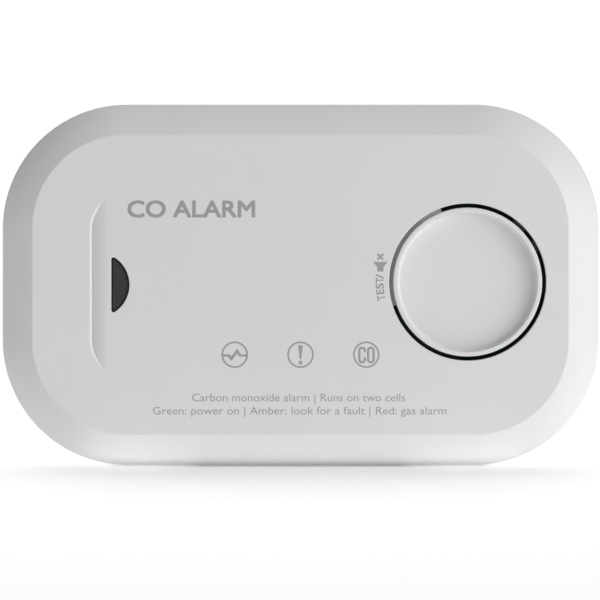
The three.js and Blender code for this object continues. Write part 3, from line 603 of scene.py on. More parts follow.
SCOOP_X, SCOOP_END_X = -42.3, -37.5
SCOOP_HALF, SCOOP_DEPTH = 17.4, 1.2
SCOOP_FADE_X = -38.6
SCOOP_CORNER = 7.6
SCOOP_CHAMFER, SCOOP_CHAMFER_DEPTH = 0.42, 0.42 * 0.95
SCOOP_FLARE = 1.2


def scoop_outline(inset=0):
    """Straight on the left, with ends that curve away to the right."""
    x0, z0, z1 = SCOOP_X + inset, MIDDLE_Z - SCOOP_HALF + inset, MIDDLE_Z + SCOOP_HALF - inset
    turn, end_x = SCOOP_CORNER - inset, SCOOP_END_X + 2
    corners = [(x0, z1, turn), (x0, z0, turn), (end_x, z0 - SCOOP_FLARE, 0), (end_x, z1 + SCOOP_FLARE, 0)]
    return rounded_path(corners, closed=True, step=6)


def scoop_cutter():
    """A chamfer and a steep wall on the left; the floor rises from it in a gentle curve to the face."""
    wall = [
        (-1, FACE_Y - 1),
        (0, FACE_Y),
        (SCOOP_CHAMFER, FACE_Y + SCOOP_CHAMFER_DEPTH),
        (SCOOP_CHAMFER + 0.1, FACE_Y + SCOOP_DEPTH + 0.5),
    ]
    steps = 24
    floor = [
        (SCOOP_X + (SCOOP_FADE_X - SCOOP_X) * k / steps, FACE_Y + SCOOP_DEPTH * (1 - k / steps) ** 2)
        for k in range(steps + 1)
    ]
    left, right, front = SCOOP_X - 2, SCOOP_END_X + 3, FACE_Y - 3
    outline = [(left, FACE_Y + SCOOP_DEPTH), *floor, (right, FACE_Y), (right, front), (left, front)]
    above = loft([[(x, y, z) for x, y in outline] for z in (-5, HEIGHT + 5)])
    return shaped(swept(scoop_outline, wall), keep=[above])


COLLAR_RADIUS, COLLAR_BORE, COLLAR_BACK_Y = 9.4, 8.2, -13.5
CASE_BOSS, BOARD_BOSS, LIGHT_BORE = 3.4, 2.8, 2.7
PIVOT_REACH, PIVOT_RADIUS, PIVOT_BORE = 19, 0.7, 0.9


def pivot_bar(radius, start, end):
    """A round bar along the test button's pivot line."""
    return about_button(upright(radius, PIVOT_REACH, INNER_FACE_Y + 1.2, start, end), PIVOT_ANGLE)


def front_cover():
    knee = bevel_knee()
    outside = rounded_path(
        [
            (FACE_INSET + 2, FACE_Y, 0),
            (FACE_INSET, FACE_Y, 0.5),
            (*knee, 18),
            (0, FACE_Y + BEVEL_DEPTH, 1.5),
            (0, SEAM_Y, 0.25),
            (1.2, SEAM_Y, 0),
        ],
        step=4,
    )
    shell = swept(case_outline, outside)
    hollow = swept(case_outline, [(WALL + 6, INNER_FACE_Y), (WALL, INNER_FACE_Y + 5), (WALL, SEAM_Y + 3)])
    shaped(shell, cut=[hollow])
    inside = INNER_FACE_Y - 0.5
    add = [bar(SENSOR.x, SENSOR.z, COLLAR_RADIUS, inside, COLLAR_BACK_Y)]
    add += [bar(x, z, CASE_BOSS, inside, SEAM_Y - 2) for x, z in CASE_SCREWS]
    add += [bar(x, z, BOARD_BOSS, inside, ON_BOARD_Y) for x, z in BOARD_SCREWS]
    for side in BOTH:
        near, far = sorted((side * 7.1, side * 8.9))
        add.append(about_button(block(17.5, 20.5, inside, INNER_FACE_Y + 2.9, near, far), PIVOT_ANGLE))
    cut = [
        swept(circle(BUTTON_X, BUTTON_Z, BUTTON_HOLE_RADIUS, 144), flared(0.18, FACE_Y, INNER_FACE_Y + 1, -1)),
        swept(inlet_outline, flared(0.12, FACE_Y, INNER_FACE_Y + 1, -1)),
        scoop_cutter(),
        bar(SENSOR.x, SENSOR.z, COLLAR_BORE, INNER_FACE_Y, SEAM_Y),
        pivot_bar(PIVOT_BORE, -10, 10),
    ]
    cut += [bar(x, LAMP_Z, LIGHT_BORE, FACE_Y + 1.2, INNER_FACE_Y + 0.5) for x in LAMP_XS]
    cut += [bar(x, z, CASE_PILOT, -9, SEAM_Y, 20) for x, z in CASE_SCREWS]
    cut += [bar(x, z, BOARD_PILOT, -10, SEAM_Y, 20) for x, z in BOARD_SCREWS]
    return shaped(shell, add, cut)


piece("front_shell", front_cover(), FINISHES["housing"], replaces=["front_cover"])

# ---- printed marks ----

INK_THICKNESS = 0.02


def stroke(points, width):
    """A flat line of even width through points, as one closed outline."""
    left, right = [], []
    for i, point in enumerate(points):
        here = Vector(point)
        before = (here - Vector(points[i - 1])).normalized() if i else None
        after = (Vector(points[i + 1]) - here).normalized() if i + 1 < len(points) else None
        a, b = before or after, after or before
        along = (a + b).normalized()
        reach = width / 2 / max(along.dot(a), 0.3)
        across = Vector((-along.y, along.x)) * reach
        left.append(tuple(here + across))
        right.append(tuple(here - across))
    return left + right[::-1]


def lettering(words, weight=0.0):
    """Words as flat closed letters, sized so that a capital is 1 high, starting at 0, with their width."""

    def mesh_of(text):
        curve = bpy.data.curves.new("words", "FONT")
        curve.body, curve.extrude = text, 0.5
        curve.resolution_u = 5
        holder = bpy.data.objects.new("words", curve)
        bpy.context.scene.collection.objects.link(holder)
        mesh = bpy.data.meshes.new_from_object(holder.evaluated_get(bpy.context.evaluated_depsgraph_get()))
        bpy.data.curves.remove(curve)
        return mesh

    capital = mesh_of("H")
    height = max(v.co.y for v in capital.vertices)
    bpy.data.meshes.remove(capital)
    mesh = mesh_of(words)
    left = min(v.co.x for v in mesh.vertices)
    mesh.transform(Matrix.Diagonal((1 / height, 1 / height, 1, 1)) @ Matrix.Translation((-left, 0, 0)))
    work = bmesh.new()
    work.from_mesh(mesh)
    bmesh.ops.remove_doubles(work, verts=work.verts, dist=MERGE_DISTANCE)
    work.to_mesh(mesh)
    work.free()
    width = max(v.co.x for v in mesh.vertices)
    made = bpy.data.objects.new("words", mesh)
    bpy.context.scene.collection.objects.link(made)
    if weight:
        copies = []
        for u, v in ((-1, -1), (1, -1), (1, 1), (-1, 1)):
            copy = bpy.data.objects.new("words", mesh.copy())
            bpy.context.scene.collection.objects.link(copy)
            copies.append(moved(copy, Matrix.Translation((u * weight, v * weight, 0))))
        shaped(made, copies)
    return made, width


def on_face(work, x, z, wide, tall, degrees=0):
    """Puts flat letters on the face: their own X runs to the right and their own Y upwards, before the turn."""
    lie = Matrix(((1, 0, 0, 0), (0, 0, INK_THICKNESS, 0), (0, 1, 0, 0), (0, 0, 0, 1)))
    turn = Matrix.Rotation(-math.radians(degrees), 4, "Y")
    size = Matrix.Diagonal((wide, tall, 1, 1))
    return moved(work, Matrix.Translation((x, FACE_Y, z)) @ turn @ lie @ size)


def printed_line(name, words, x0, x1, baseline, capital, weight=0.0):
    work, width = lettering(words, weight)
    on_face(work, x0, baseline, (x1 - x0) / width, capital)
    piece(name, work, FINISHES["ink"], weighted=False)


def joined(works):
    """Several work objects as one, without merging their surfaces."""
    work = bmesh.new()
    for each in works:
        work.from_mesh(each.data)
        bpy.data.meshes.remove(each.data)
    mesh = bpy.data.meshes.new("work")
    work.to_mesh(mesh)
    work.free()
    made = bpy.data.objects.new("work", mesh)
    bpy.context.scene.collection.objects.link(made)
    return made


def flat(points, y=FACE_Y):
    return prism(points, y - INK_THICKNESS / 2, y + INK_THICKNESS / 2)


def band_profile(width, y):
    """The section of a flat printed band that lies inside an outline."""
    y0, y1 = y - INK_THICKNESS / 2, y + INK_THICKNESS / 2
    return [(0, y0), (0, y1), (width, y1), (width, y0)]


def ring_mark(x, z, radius, width):
    return swept(circle(x, z, radius, 72), band_profile(width, FACE_Y), closed=True)


BOLD = 0.03
SMALL_CAPITAL = 1.5
LINE_1 = "Carbon monoxide alarm | Runs on two cells"
LINE_2 = "Green: power on | Amber: look for a fault | Red: gas alarm"
printed_line("plain_wording", "CO ALARM", -34.6, -9.2, 49.9, 3.2, BOLD)
printed_line("wording_line_1", LINE_1, -21.75, 21, 12.92, SMALL_CAPITAL)
printed_line("wording_line_2", LINE_2, -29.6, 29.3, 10.3, SMALL_CAPITAL)

ICON_RADIUS, ICON_STROKE = 2.66, 0.35


def icon(name, x, marks):
    work = joined([ring_mark(x, LAMP_Z, ICON_RADIUS, ICON_STROKE), *marks])
    piece(name, work, FINISHES["ink"], weighted=False)


def flat_at(x, points):
    return flat([(x + u, LAMP_Z + v) for u, v in points])


power_x, fault_x, alarm_x = LAMP_XS
pulse = flat_at(power_x, stroke([(-1.2, -0.12), (-0.67, -0.8), (0.49, 0.73), (1.02, -0.12)], 0.58))
base_lines = [flat_at(power_x, stroke([(u, -0.16), (u + 1.5, -0.16)], 0.42)) for u in (-2.4, 0.9)]
icon("icon_power", power_x, [shaped(pulse, base_lines)])
bang = [(-0.5, 1.9), (0.5, 1.9), (0.15, -0.93), (-0.15, -0.93)]
dot = rounded_rectangle(-0.4, 0.4, -2, -1.22, 0.33)()
icon("icon_fault", fault_x, [flat_at(fault_x, bang[::-1]), flat_at(fault_x, dot)])
CO_TOP, CO_BOTTOM, CO_STROKE = 1.62, -1.74, 0.46
letter_c = rounded_path(
    [
        (-0.3, 0.5, 0),
        (-0.3, CO_TOP - CO_STROKE / 2, 0.5),
        (-1.39, CO_TOP - CO_STROKE / 2, 0.5),
        (-1.39, CO_BOTTOM + CO_STROKE / 2, 0.5),
        (-0.3, CO_BOTTOM + CO_STROKE / 2, 0.5),
        (-0.3, -0.5, 0),
    ],
    step=15,
)
letter_o = swept(
    rounded_rectangle(alarm_x + 0.12, alarm_x + 1.68, LAMP_Z + CO_BOTTOM, LAMP_Z + CO_TOP, 0.73),
    band_profile(CO_STROKE, FACE_Y),
    closed=True,
)
icon("icon_alarm", alarm_x, [flat_at(alarm_x, stroke(letter_c, CO_STROKE)), letter_o])

TEST_RADIUS = 17.66
TEST_LETTERS = (("T", 190.2, 1.0), ("E", 186.3, 0.92), ("S", 182.6, 1.0), ("T", 178.8, 1.0), ("/", 176.4, 0.7))
marks = []
for letter, angle, wide in TEST_LETTERS:
    work, width = lettering(letter, BOLD)
    moved(work, Matrix.Translation((-width / 2, -0.5, 0)))
    direction = math.radians(angle)
    marks.append(
        on_face(
            work,
            BUTTON_X + TEST_RADIUS * math.cos(direction),
            BUTTON_Z + TEST_RADIUS * math.sin(direction),
            wide / width,
            SMALL_CAPITAL,
            angle - 90,
        )
    )
speaker_x, speaker_z = BUTTON_X - 17.52, BUTTON_Z + 3.06
speaker = [(-0.62, -0.95), (0.62, -0.95), (0.62, -0.1), (1.45, 0.98), (-1.45, 0.98), (-0.62, -0.1)]
marks.append(flat([(speaker_x + u, speaker_z + v) for u, v in speaker]))
CROSS_HALF, CROSS_STROKE, CROSS_RISE = 0.58, 0.4, 2
cross = []
for lean in BOTH:
    bar_ends = [(-CROSS_HALF * lean, -CROSS_HALF), (CROSS_HALF * lean, CROSS_HALF)]
    bar_outline = stroke(bar_ends, CROSS_STROKE)
    cross.append(flat([(speaker_x + u, speaker_z + CROSS_RISE + v) for u, v in bar_outline]))
marks.append(shaped(cross[0], cross[1:]))
piece("test_mark", joined(marks), FINISHES["ink"], weighted=False)

# ---- test button ----

DISH_RADIUS = 14.05
DISH_DEPTH = 2.5
DISH_WALL = 0.32
SKIRT_BACK_Y = FACE_Y + 4.9
BUTTON_FLOOR_Y = FACE_Y + 3.3
FLANGE_Y = (INNER_FACE_Y + 0.4, INNER_FACE_Y + 1.7)


def ring_sector(inner, outer, start, end, y0, y1):
    steps = max(4, round((end - start) / 2))
    points = arc(0, 0, outer, start, end, steps) + arc(0, 0, inner, end, start, steps)
    return about_button(prism(points, y0, y1))


def test_button():
    profile = rounded_path(
        [
            (0.4, FACE_Y + DISH_DEPTH + 0.1, 0),
            (DISH_RADIUS - DISH_WALL, FACE_Y + DISH_DEPTH, 0.28),
            (DISH_RADIUS, FACE_Y, 0.14),
            (BUTTON_RADIUS, FACE_Y, 0.25),
            (BUTTON_RADIUS, SKIRT_BACK_Y, 0.2),
            (BUTTON_RADIUS - 1.5, SKIRT_BACK_Y, 0.2),
            (BUTTON_RADIUS - 1.5, BUTTON_FLOOR_Y, 0.4),
            (0.4, BUTTON_FLOOR_Y, 0),
        ],
        step=9,
    )
    cap = turned(profile, BUTTON_X, BUTTON_Z, 144)
    add = [ring_sector(13.8, 17.4, 110, 198, *FLANGE_Y)]
    for side in BOTH:
        near, far = sorted((side * 5.2, side * 6.8))
        add.append(about_button(block(14.8, 20, *FLANGE_Y, near, far), PIVOT_ANGLE))
        near, far = sorted((side * 5.2, side * 8.4))
        add.append(pivot_bar(PIVOT_RADIUS, near, far))
    post_x, post_z = along_pivot(-13.4)
    add.append(bar(post_x, post_z, 1.2, BUTTON_FLOOR_Y - 0.5, -8.5))
    return shaped(cap, add)


piece("button_cap", test_button(), FINISHES["button"], "test_button", ["test_button"])
# The stop tabs are the button's white plastic. Their dark grey is painted shade for their place deep in the gap
# round the button.
STOP_ANGLES = ((24, 33), (42, 53))
stops = [ring_sector(BUTTON_RADIUS - 0.1, 16.9, start, end, *FLANGE_Y) for start, end in STOP_ANGLES]
piece("button_stops", joined(stops), FINISHES["stops_painted_shade"], "test_button")

# ---- gas inlet filter ----


def gas_filter():
    seat_y = -16
    plug = swept(
        lambda inset=0: inlet_outline(inset + 0.25),
        [(0.12, FACE_Y + 0.5), (0.04, FACE_Y + 0.54), (0, FACE_Y + 0.65), (0, seat_y + 0.25)],
    )
    return shaped(plug, [swept(inlet_outline, [(-0.5, seat_y), (-0.5, seat_y + 0.6)])])


piece("inlet_felt", gas_filter(), FINISHES["felt"], replaces=["gas_inlet_filter"])

# ---- rear cover ----

DOOR_LEFT, DOOR_RIGHT, DOOR_HALF, DOOR_THICKNESS = -29.7, 33, 17.3, 1.6
HINGE_X, HINGE_Y = -32, 17.2
LATCH_HALF, LATCH_NOTCH = 4.2, 4.8
LATCH_LEFT, LATCH_RIGHT, LATCH_FRONT_Y = 31.6, 35.4, 13
LATCH_LEG, LATCH_NIB = 1, 0.4
SCREW_TOWER, SCREW_BORE, SCREW_SEAT_Y = 4.4, 3.3, 8
KNUCKLE_ZS = (MIDDLE_Z - 10.6, MIDDLE_Z + 10.6)
CELL_ZS = (centre_of("battery_cell_1").z, centre_of("battery_cell_2").z)
CELL_Y = centre_of("battery_cell_1").y
LABEL_LOW, LABEL_HIGH = [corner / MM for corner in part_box("rating_label")]


def door_outline(hinge_side=0.0):
    def outline(inset=0):
        return rounded_rectangle(
            DOOR_LEFT - hinge_side + inset,
            DOOR_RIGHT - inset,
            MIDDLE_Z - DOOR_HALF + inset,
            MIDDLE_Z + DOOR_HALF - inset,
            max(2 - inset, 0.3),
            8,
        )()

    return outline


KEYHOLE_XS = (43.5, -43.5)


def key_outline(x):
    """A round hole with a narrower slot above it, for a screw head to drop behind."""
    z, head, slot, rise = 31.5, 3.75, 1.9, 10

    def outline(inset=0):
        big, small = head - inset, slot - inset
        join_angle = math.degrees(math.asin(small / big))
        return arc(x, z, big, 90 + join_angle, 450 - join_angle, 40) + arc(x, z + rise, small, 0, 180, 20)

    return outline


POCKET_WALL = 1.2
BAY_HALF_X, BAY_HALF_Z, BAY_FRONT_Y = 28.6, 15.5, 1.4
KEY_POCKET_HALF, KEY_POCKET_FRONT_Y = 5.3, 12.4
KEY_POCKET_LOW, KEY_POCKET_HIGH = 26.9, 45.8


def key_pocket(x, wall, back_y):
    half = KEY_POCKET_HALF + wall
    low, high = KEY_POCKET_LOW - wall, KEY_POCKET_HIGH + wall
    return block(x - half, x + half, KEY_POCKET_FRONT_Y - wall, back_y, low, high)


def cell_bay(wall, back_y):
    half_x, half_z = BAY_HALF_X + wall, BAY_HALF_Z + wall
    return block(-half_x, half_x, BAY_FRONT_Y - wall, back_y, MIDDLE_Z - half_z, MIDDLE_Z + half_z)


def latch_pocket(wall, back_y):
    half = LATCH_NOTCH + wall
    return block(31.2 - wall, 36.2 + wall, 12.6 - wall, back_y, MIDDLE_Z - half, MIDDLE_Z + half)


def rear_cover():
    seam = SEAM_Y + GAP
    outside = rounded_path(
        [(1.2, seam, 0), (0, seam, 0.25), (0, BACK_Y - 2.5, 2.2), (2.5, BACK_Y, 2.2), (5, BACK_Y, 0)],
        step=5,
    )
    shell = swept(case_outline, outside)
    hollow = swept(case_outline, [(WALL, seam - 2), (WALL, INNER_BACK_Y - 2.5), (WALL + 2.5, INNER_BACK_Y)])
    shaped(shell, cut=[hollow])
    root = seam + 1.8
    add = [
        swept(case_outline, [(1.7, seam), (3.9, seam), (3.9, root), (1.7, root)], closed=True),
        swept(case_outline, [(2.5, seam - 2), (3.9, seam - 2), (3.9, root), (2.5, root)], closed=True),
    ]
    add += [bar(x, z, SCREW_TOWER, SEAM_Y - 1.7, INNER_BACK_Y + 0.5, 40) for x, z in CASE_SCREWS]
    add += [key_pocket(x, POCKET_WALL, INNER_BACK_Y + 0.5) for x in KEYHOLE_XS]
    add += [
        cell_bay(POCKET_WALL, INNER_BACK_Y + 0.5),
        block(-35.4, -29.4, 14.2, INNER_BACK_Y + 0.5, MIDDLE_Z - 15.6, MIDDLE_Z + 15.6),
        latch_pocket(POCKET_WALL, BACK_Y - 0.5),
    ]
    shaped(shell, add)
    recess_y = BACK_Y - DOOR_THICKNESS - GAP
    cut = [bar(x, z, CASE_PILOT, SEAM_Y - 3, BACK_Y, 24) for x, z in CASE_SCREWS]
    cut += [swept(circle(x, z, SCREW_BORE), flared(0.3, BACK_Y, SCREW_SEAT_Y, 1)) for x, z in CASE_SCREWS]
    cut += [key_pocket(x, 0, INNER_BACK_Y) for x in KEYHOLE_XS]
    cut += [swept(key_outline(x), flared(0.3, BACK_Y, INNER_BACK_Y - 1, 1)) for x in KEYHOLE_XS]
    cut += [
        cell_bay(0, BACK_Y + 1),
        swept(lambda inset=0: door_outline(0.4)(inset - GAP), flared(0.2, BACK_Y, recess_y, 1)),
        latch_pocket(0, BACK_Y + 1),
    ]
    for z in KNUCKLE_ZS:
        cut.append(block(HINGE_X - 1.9, DOOR_LEFT, HINGE_Y - 1.6, BACK_Y + 1, z - 3.3, z + 3.3))
        cut.append(upright(0.95, HINGE_X, HINGE_Y, z - 4.3, z + 4.3))
    cut += [block(-BAY_HALF_X, -BAY_HALF_X + 1, -0.8, 2.4, z - 1.5, z + 1.5) for z in CELL_ZS]
    room = 0.2
    pocket = rounded_rectangle(
        LABEL_LOW.x - room, LABEL_HIGH.x + room, LABEL_LOW.z - room, LABEL_HIGH.z + room, 1.2
    )
    cut.append(swept(pocket, flared(0.1, BACK_Y, BACK_Y - 0.35, 1)))
    return shaped(shell, cut=cut)


piece("rear_shell", rear_cover(), FINISHES["housing"], replaces=["rear_cover"])

# ---- battery door ----


def battery_door():
    front_y = BACK_Y - DOOR_THICKNESS
    edge = [(0.8, front_y, 0), (0, front_y, 0.1), (0, BACK_Y, 0.25), (0.8, BACK_Y, 0)]
    panel = swept(door_outline(), rounded_path(edge, step=15))
    cut = [block(32.6, 35, BACK_Y - 2, BACK_Y + 1, MIDDLE_Z - LATCH_NOTCH, MIDDLE_Z + LATCH_NOTCH)]
    for i in range(-1, 2):
        x = DOOR_RIGHT - 6 + 1.8 * i
        groove = rounded_rectangle(x - 0.4, x + 0.4, MIDDLE_Z - 6, MIDDLE_Z + 6, 0.39, 6)
        cut.append(swept(groove, flared(0.15, BACK_Y, BACK_Y - 0.5, 1)))
    shaped(panel, cut=cut)
    add = []
    for z in KNUCKLE_ZS:
        add.append(block(HINGE_X, DOOR_LEFT + 0.5, HINGE_Y - 0.1, BACK_Y, z - 3, z + 3))
        add.append(upright(1.3, HINGE_X, HINGE_Y, z - 3, z + 3, 32))
        add.append(upright(0.8, HINGE_X, HINGE_Y, z - 4, z + 4))
    low, high = MIDDLE_Z - LATCH_HALF, MIDDLE_Z + LATCH_HALF
    near, far, front = LATCH_LEFT, LATCH_RIGHT, LATCH_FRONT_Y
    add += [
        block(near, near + LATCH_LEG, front, BACK_Y - 1.1, low, high),
        block(near, far, front, front + LATCH_LEG, low, high),
        block(far - LATCH_LEG, far, front, BACK_Y - GAP, low, high),
        block(far, far + LATCH_NIB, 15.2, 16.2, low, high),
    ]
    return shaped(panel, add)


piece("door_panel", battery_door(), FINISHES["housing"], "battery_door", ["battery_door"])

# ---- cells and contacts ----

PLATE_X, PLATE_THICKNESS = 27.9, 0.4
PLATE_FRONT_Y, PLATE_BACK_Y, PLATE_HALF = 3, 15, 6
TAIL_HALF = 1.2
SPRING_TURNS, SPRING_LENGTH, SPRING_STEPS = 3.5, 4.2, 100
SPRING_WIDE, SPRING_TAPER = 4.2, 1.5
WIRE, WIRE_SIDES = 0.35, 10


def cell(number, side, z):
    """A cell along X, its nub towards the given side: a steel can in a shrunk film."""
    low, high = [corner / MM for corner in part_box(f"battery_cell_{number}")]
    radius, length, nub = (high.z - low.z) / 2, high.x - low.x, 2.75
    body = length - 1.1
    start = low.x if side > 0 else high.x

    def laid(corners, closed=False):
        path = rounded_path(corners, closed, 15)
        return across(turned([(r, start + side * t) for r, t in path], CELL_Y, z, 72, closed))

    can = [
        (0.3, 0.3, 0),
        (3.4, 0.3, 0.2),
        (3.9, 0.02, 0.2),
        (radius - 0.3, 0.02, 0.7),
        (radius - 0.2, 1.5, 0),
        (radius - 0.2, body - 1, 0.5),
        (nub + 1.6, body - 0.1, 0.3),
        (nub + 0.2, body - 0.1, 0.2),
        (nub, length, 0.4),
        (0.3, length, 0),
    ]
    film = [
        (5.2, 0, 0),
        (radius, 0, 0.7),
        (radius, body, 0.8),
        (5.4, body, 0.1),
        (5.4, body - 0.08, 0),
        (radius - 0.15, body - 0.2, 0.7),
        (radius - 0.15, 0.2, 0.6),
        (5.2, 0.02, 0),
    ]
    node = [f"battery_cell_{number}"]
    print_finish = FINISHES[f"film_{number}"]
    piece(f"cell_can_{number}", laid(can), FINISHES["steel"], replaces=node)
    piece(f"cell_film_{number}", laid(film, True), print_finish, replaces=node)


def plate(side, z0, z1):
    x0, x1 = sorted((side * PLATE_X, side * (PLATE_X + PLATE_THICKNESS)))
    outline = rounded_rectangle(PLATE_FRONT_Y, PLATE_BACK_Y, z0, z1, 1.2)
    edge = 0.08
    return across(swept(outline, [(edge, x0), (0, x0 + edge), (0, x1 - edge), (edge, x1)]))


def tail(side, z):
    x0, x1 = sorted((side * PLATE_X, side * (PLATE_X + PLATE_THICKNESS)))
    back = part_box("contact_negative")[0].y / MM
    return block(x0, x1, back, PLATE_FRONT_Y + 0.5, z - TAIL_HALF, z + TAIL_HALF)


def dimple(side, z):
    rise = [(2.6, 0.2), (2.4, 0), (2.1, -0.16), (1.6, -0.28), (0.2, -0.3)]
    return across(turned([(r, side * (PLATE_X + t)) for r, t in rise], CELL_Y, z, 40))


def spring(side, z):
    """A tapering coil from the plate towards the cell's flat end."""
    rings = []
    around = [2 * math.pi * j / WIRE_SIDES for j in range(WIRE_SIDES)]
    for k in range(SPRING_STEPS + 1):
        share = k / SPRING_STEPS
        angle = 2 * math.pi * SPRING_TURNS * share
        radial = Vector((0, math.cos(angle), math.sin(angle)))
        centre = Vector((side * (PLATE_X + 0.05 - SPRING_LENGTH * share), CELL_Y, z))
        middle = centre + radial * (SPRING_WIDE - SPRING_TAPER * share)
        section = [math.cos(b) * radial + Vector((math.sin(b), 0, 0)) for b in around]
        rings.append([tuple(middle + WIRE * offset) for offset in section])
    return loft(rings)


def contact(use, side, z0, z1, extra):
    """A contact strip with its tails, dimples and springs, from one cell's middle height to another's."""
    work = shaped(plate(side, z0 - PLATE_HALF, z1 + PLATE_HALF), extra)
    piece(f"strip_{use}", work, FINISHES["nickel"], replaces=[f"contact_{use}"])


low_z, high_z = CELL_ZS
cell(1, 1, low_z)
cell(2, -1, high_z)
contact("negative", -1, low_z, low_z, [tail(-1, low_z), spring(-1, low_z)])
contact("positive", -1, high_z, high_z, [tail(-1, high_z), dimple(-1, high_z)])
contact("bridge", 1, low_z, high_z, [dimple(1, low_z), spring(1, high_z)])

# ---- print on the rating label ----


def label_print():
    """A frame, and rows of plain bars that stand for small print; each bar has its share of the full length."""
    y, margin = LABEL_HIGH.y, 0.8
    x0, x1, z0, z1 = LABEL_LOW.x + 1, LABEL_HIGH.x - 1, LABEL_LOW.z + 1, LABEL_HIGH.z - 1
    marks = [swept(rounded_rectangle(x0, x1, z0, z1, 0.8), band_profile(0.25, y), closed=True)]
    rows = (0.55, 0.8, 0.72, 0.86, 0.64, 0.78)
    pitch = (z1 - z0 - 2 * margin) / len(rows)
    thick = 0.26 * pitch
    for i, share in enumerate(rows):
        z = z1 - margin - pitch * (i + 0.5)
        right = x1 - 1
        left = right - (x1 - x0 - 2) * share
        marks.append(flat(rounded_rectangle(left, right, z - thick / 2, z + thick / 2, thick / 3)(), y))
    return joined(marks)


piece("label_print", label_print(), FINISHES["dark_ink"], weighted=False)

# ---- staging ----

WORLD_LIGHT, WORLD_SEEN = 0.13, 1.05
FLOOR_EMISSION = 0.575
FLOOR_RADIUS_M = 1.15
FLOOR_DROP_M = 0.0003

# The casing's foot on the floor, and the painted shadow round it, where the floor's glow falls off towards it:
# (share of the reach, level).
FOOT_Y, FOOT_HALF_Y = 2.5, 16.5
FOOT_HALF_X, SHADE_HALF_X, SHADE_STRETCH_X = 37, 20, 5
SHADE_REACH_M, UNDER_REACH_M = 0.25, 0.002
SHADE = [(0, 0.42), (0.05, 0.6), (0.2, 0.78), (0.45, 0.86), (1, 1)]
# Painted shade under the casing: the floor's glow there is cut to this share.
UNDER_SHADE_LEVEL = 0.74

# What a light falls on.
all_but_floor = bpy.data.collections.new("all_but_floor")
floor_only = bpy.data.collections.new("floor_only")


def light(name, place, target, size, energy, receivers, height=None):
    """A softbox for everything, or only for what its receivers collection takes in."""
    data = bpy.data.lights.new(name, "AREA")
    data.shape = "RECTANGLE"
    data.size, data.size_y, data.energy = size, height or size, energy
    made = bpy.data.objects.new(name, data)
    made.location = place
    made.rotation_mode = "QUATERNION"
    made.rotation_quaternion = (Vector(target) - Vector(place)).to_track_quat("-Z", "Y")
    made.visible_camera = False
    if receivers:
        made.light_linking.receiver_collection = receivers
    bpy.context.scene.collection.objects.link(made)


def studio():
    scene = bpy.context.scene
    scene.view_settings.view_transform = "Standard"
    world = bpy.data.worlds.new("studio")
    scene.world = world
    world.use_nodes = True
    nodes, links = world.node_tree.nodes, world.node_tree.links
    seen, unseen = nodes["Background"], nodes.new("ShaderNodeBackground")
    for background, strength in ((seen, WORLD_SEEN), (unseen, WORLD_LIGHT)):
        background.inputs["Strength"].default_value = strength
        background.inputs["Color"].default_value = (1, 1, 1, 1)
    path = nodes.new("ShaderNodeLightPath")
    choice = nodes.new("ShaderNodeMixShader")
    links.new(path.outputs["Is Camera Ray"], choice.inputs[0])
    links.new(unseen.outputs[0], choice.inputs[1])
    links.new(seen.outputs[0], choice.inputs[2])
    links.new(choice.outputs[0], nodes["World Output"].inputs["Surface"])
    light("side_softbox", (0.75, -0.35, 0.12), (0, 0, 0.03), 0.5, 3.8, all_but_floor)
    light("side_front_softbox", (0.6, -0.7, 0.15), (0, 0, 0.03), 0.5, 1.8, all_but_floor)
    light("upper_softbox", (0.0, -0.15, 1.0), (0, -0.02, 0.03), 0.8, 1.15, all_but_floor)
    light("bounce_card", (0, -0.036, 0.0003), (0, -0.036, 1), 0.09, 0.0034, all_but_floor, height=0.042)
    light("top_softbox", (0.0, -0.1, 1.0), (0, -0.05, 0), 1.2, 2.3, None)
    light("back_softbox", (0.0, 0.9, 0.6), (0, -0.05, 0), 1.0, 4.0, None)
    light("floor_softbox", (0.0, 0.9, 0.6), (0, -0.05, 0), 1.0, 5.8, floor_only)


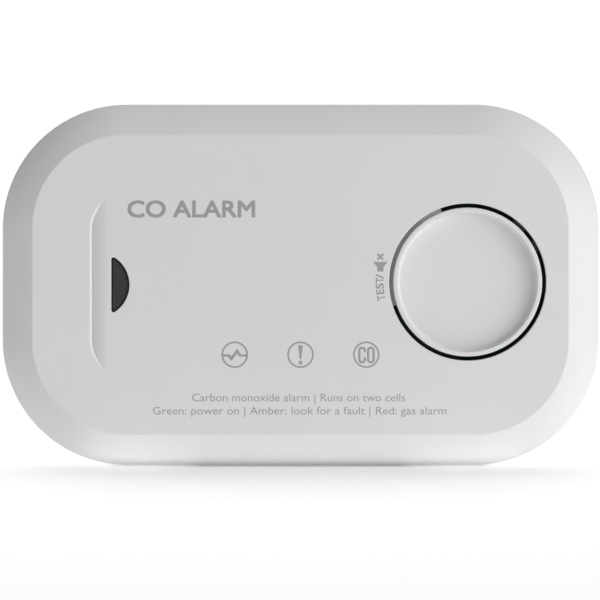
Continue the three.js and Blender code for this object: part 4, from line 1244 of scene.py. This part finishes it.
def contact_shade(r):
    """The floor's own glow with a painted shadow: it fades towards the casing and is cut down further under it.
    """
    axes = r.add("ShaderNodeSeparateXYZ", {"Vector": r.place}).outputs

    def beyond(value, half):
        return r.maths("SUBTRACT", r.maths("ABSOLUTE", value, 0), half * MM)

    def apart(half_x, stretch):
        """Distance from a block of floor under the casing; distances along X are stretched."""
        reach_x = r.maths("MULTIPLY", beyond(axes[0], half_x), stretch)
        reach_y = beyond(r.maths("SUBTRACT", axes[1], FOOT_Y * MM), FOOT_HALF_Y)
        sides = [r.maths("POWER", r.maths("MAXIMUM", reach, 0), 2) for reach in (reach_x, reach_y)]
        return r.maths("SQRT", r.maths("ADD", *sides), 0)

    distance = r.maths("MULTIPLY", apart(SHADE_HALF_X, SHADE_STRETCH_X), 1 / SHADE_REACH_M)
    # Painted shadow: the glow is lowered near the casing, and lowered again right under it.
    painted_shadow = r.ramp(distance, [(share, (level,) * 3 + (1,)) for share, level in SHADE])
    under_shade = r.spread(apart(FOOT_HALF_X, 1), UNDER_SHADE_LEVEL, 1, 0, UNDER_REACH_M)
    return r.maths("MULTIPLY", r.maths("MULTIPLY", painted_shadow, under_shade), FLOOR_EMISSION)


def floor():
    mesh = bpy.data.meshes.new("floor")
    rim = [(FLOOR_RADIUS_M * x, FLOOR_RADIUS_M * y, 0) for x, y in arc(0, 0, 1, 0, 360, 96)[:-1]]
    mesh.from_pydata(rim, [], [tuple(range(len(rim)))])
    made = bpy.data.objects.new("floor", mesh)
    made.location.z = -FLOOR_DROP_M
    bpy.context.scene.collection.objects.link(made)
    for receivers, state in ((all_but_floor, "EXCLUDE"), (floor_only, "INCLUDE")):
        receivers.objects.link(made)
        receivers.collection_objects[0].light_linking.link_state = state
    r = Recipe("floor_paper", Specular_IOR_Level=0.1)
    fibres = r.noise(40, 4, 0.6)
    r.colour(r.mixed(r.spread(fibres, 0, 1), grey(240), grey(243)))
    r.roughness(r.spread(fibres, 0.85, 0.95))
    r.shader.inputs["Emission Color"].default_value = (1, 1, 1, 1)
    r.plug(contact_shade(r), r.shader.inputs["Emission Strength"])
    mesh.materials.append(r.material)


studio()
floor()

# ---- finishes of the parts inside ----

INSIDE = {
    "rating_label": "paper",
    "test_switch_body": "black",
    "test_switch_plunger": "grey",
    "sensor_seal": "rubber",
    "co_sensor_cap": "grey",
    "co_sensor_body": "can",
    "sounder_chamber": "black",
    "sounder_ring": "rubber",
    "piezo_plate": "brass",
    "piezo_ceramic": "ceramic",
    "light_shroud": "black",
    "lamp_power": "green",
    "lamp_fault": "amber",
    "lamp_alarm": "red",
    "circuit_board": "board",
    "microcontroller": "epoxy",
    "capacitor_1": "sleeved_can",
    "capacitor_2": "sleeved_can",
    "boost_inductor": "ferrite",
    **{f"light_pipe_{use}": "clear" for use in ("power", "fault", "alarm")},
    **{f"cover_screw_{i}": "steel" for i in range(1, 5)},
    **{f"board_screw_{i}": "steel" for i in range(1, 5)},
}
for node, finish in INSIDE.items():
    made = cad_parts[node]
    made.material_slots[0].material = FINISHES[finish]
    smooth(made.data, SMOOTH_DEGREES)
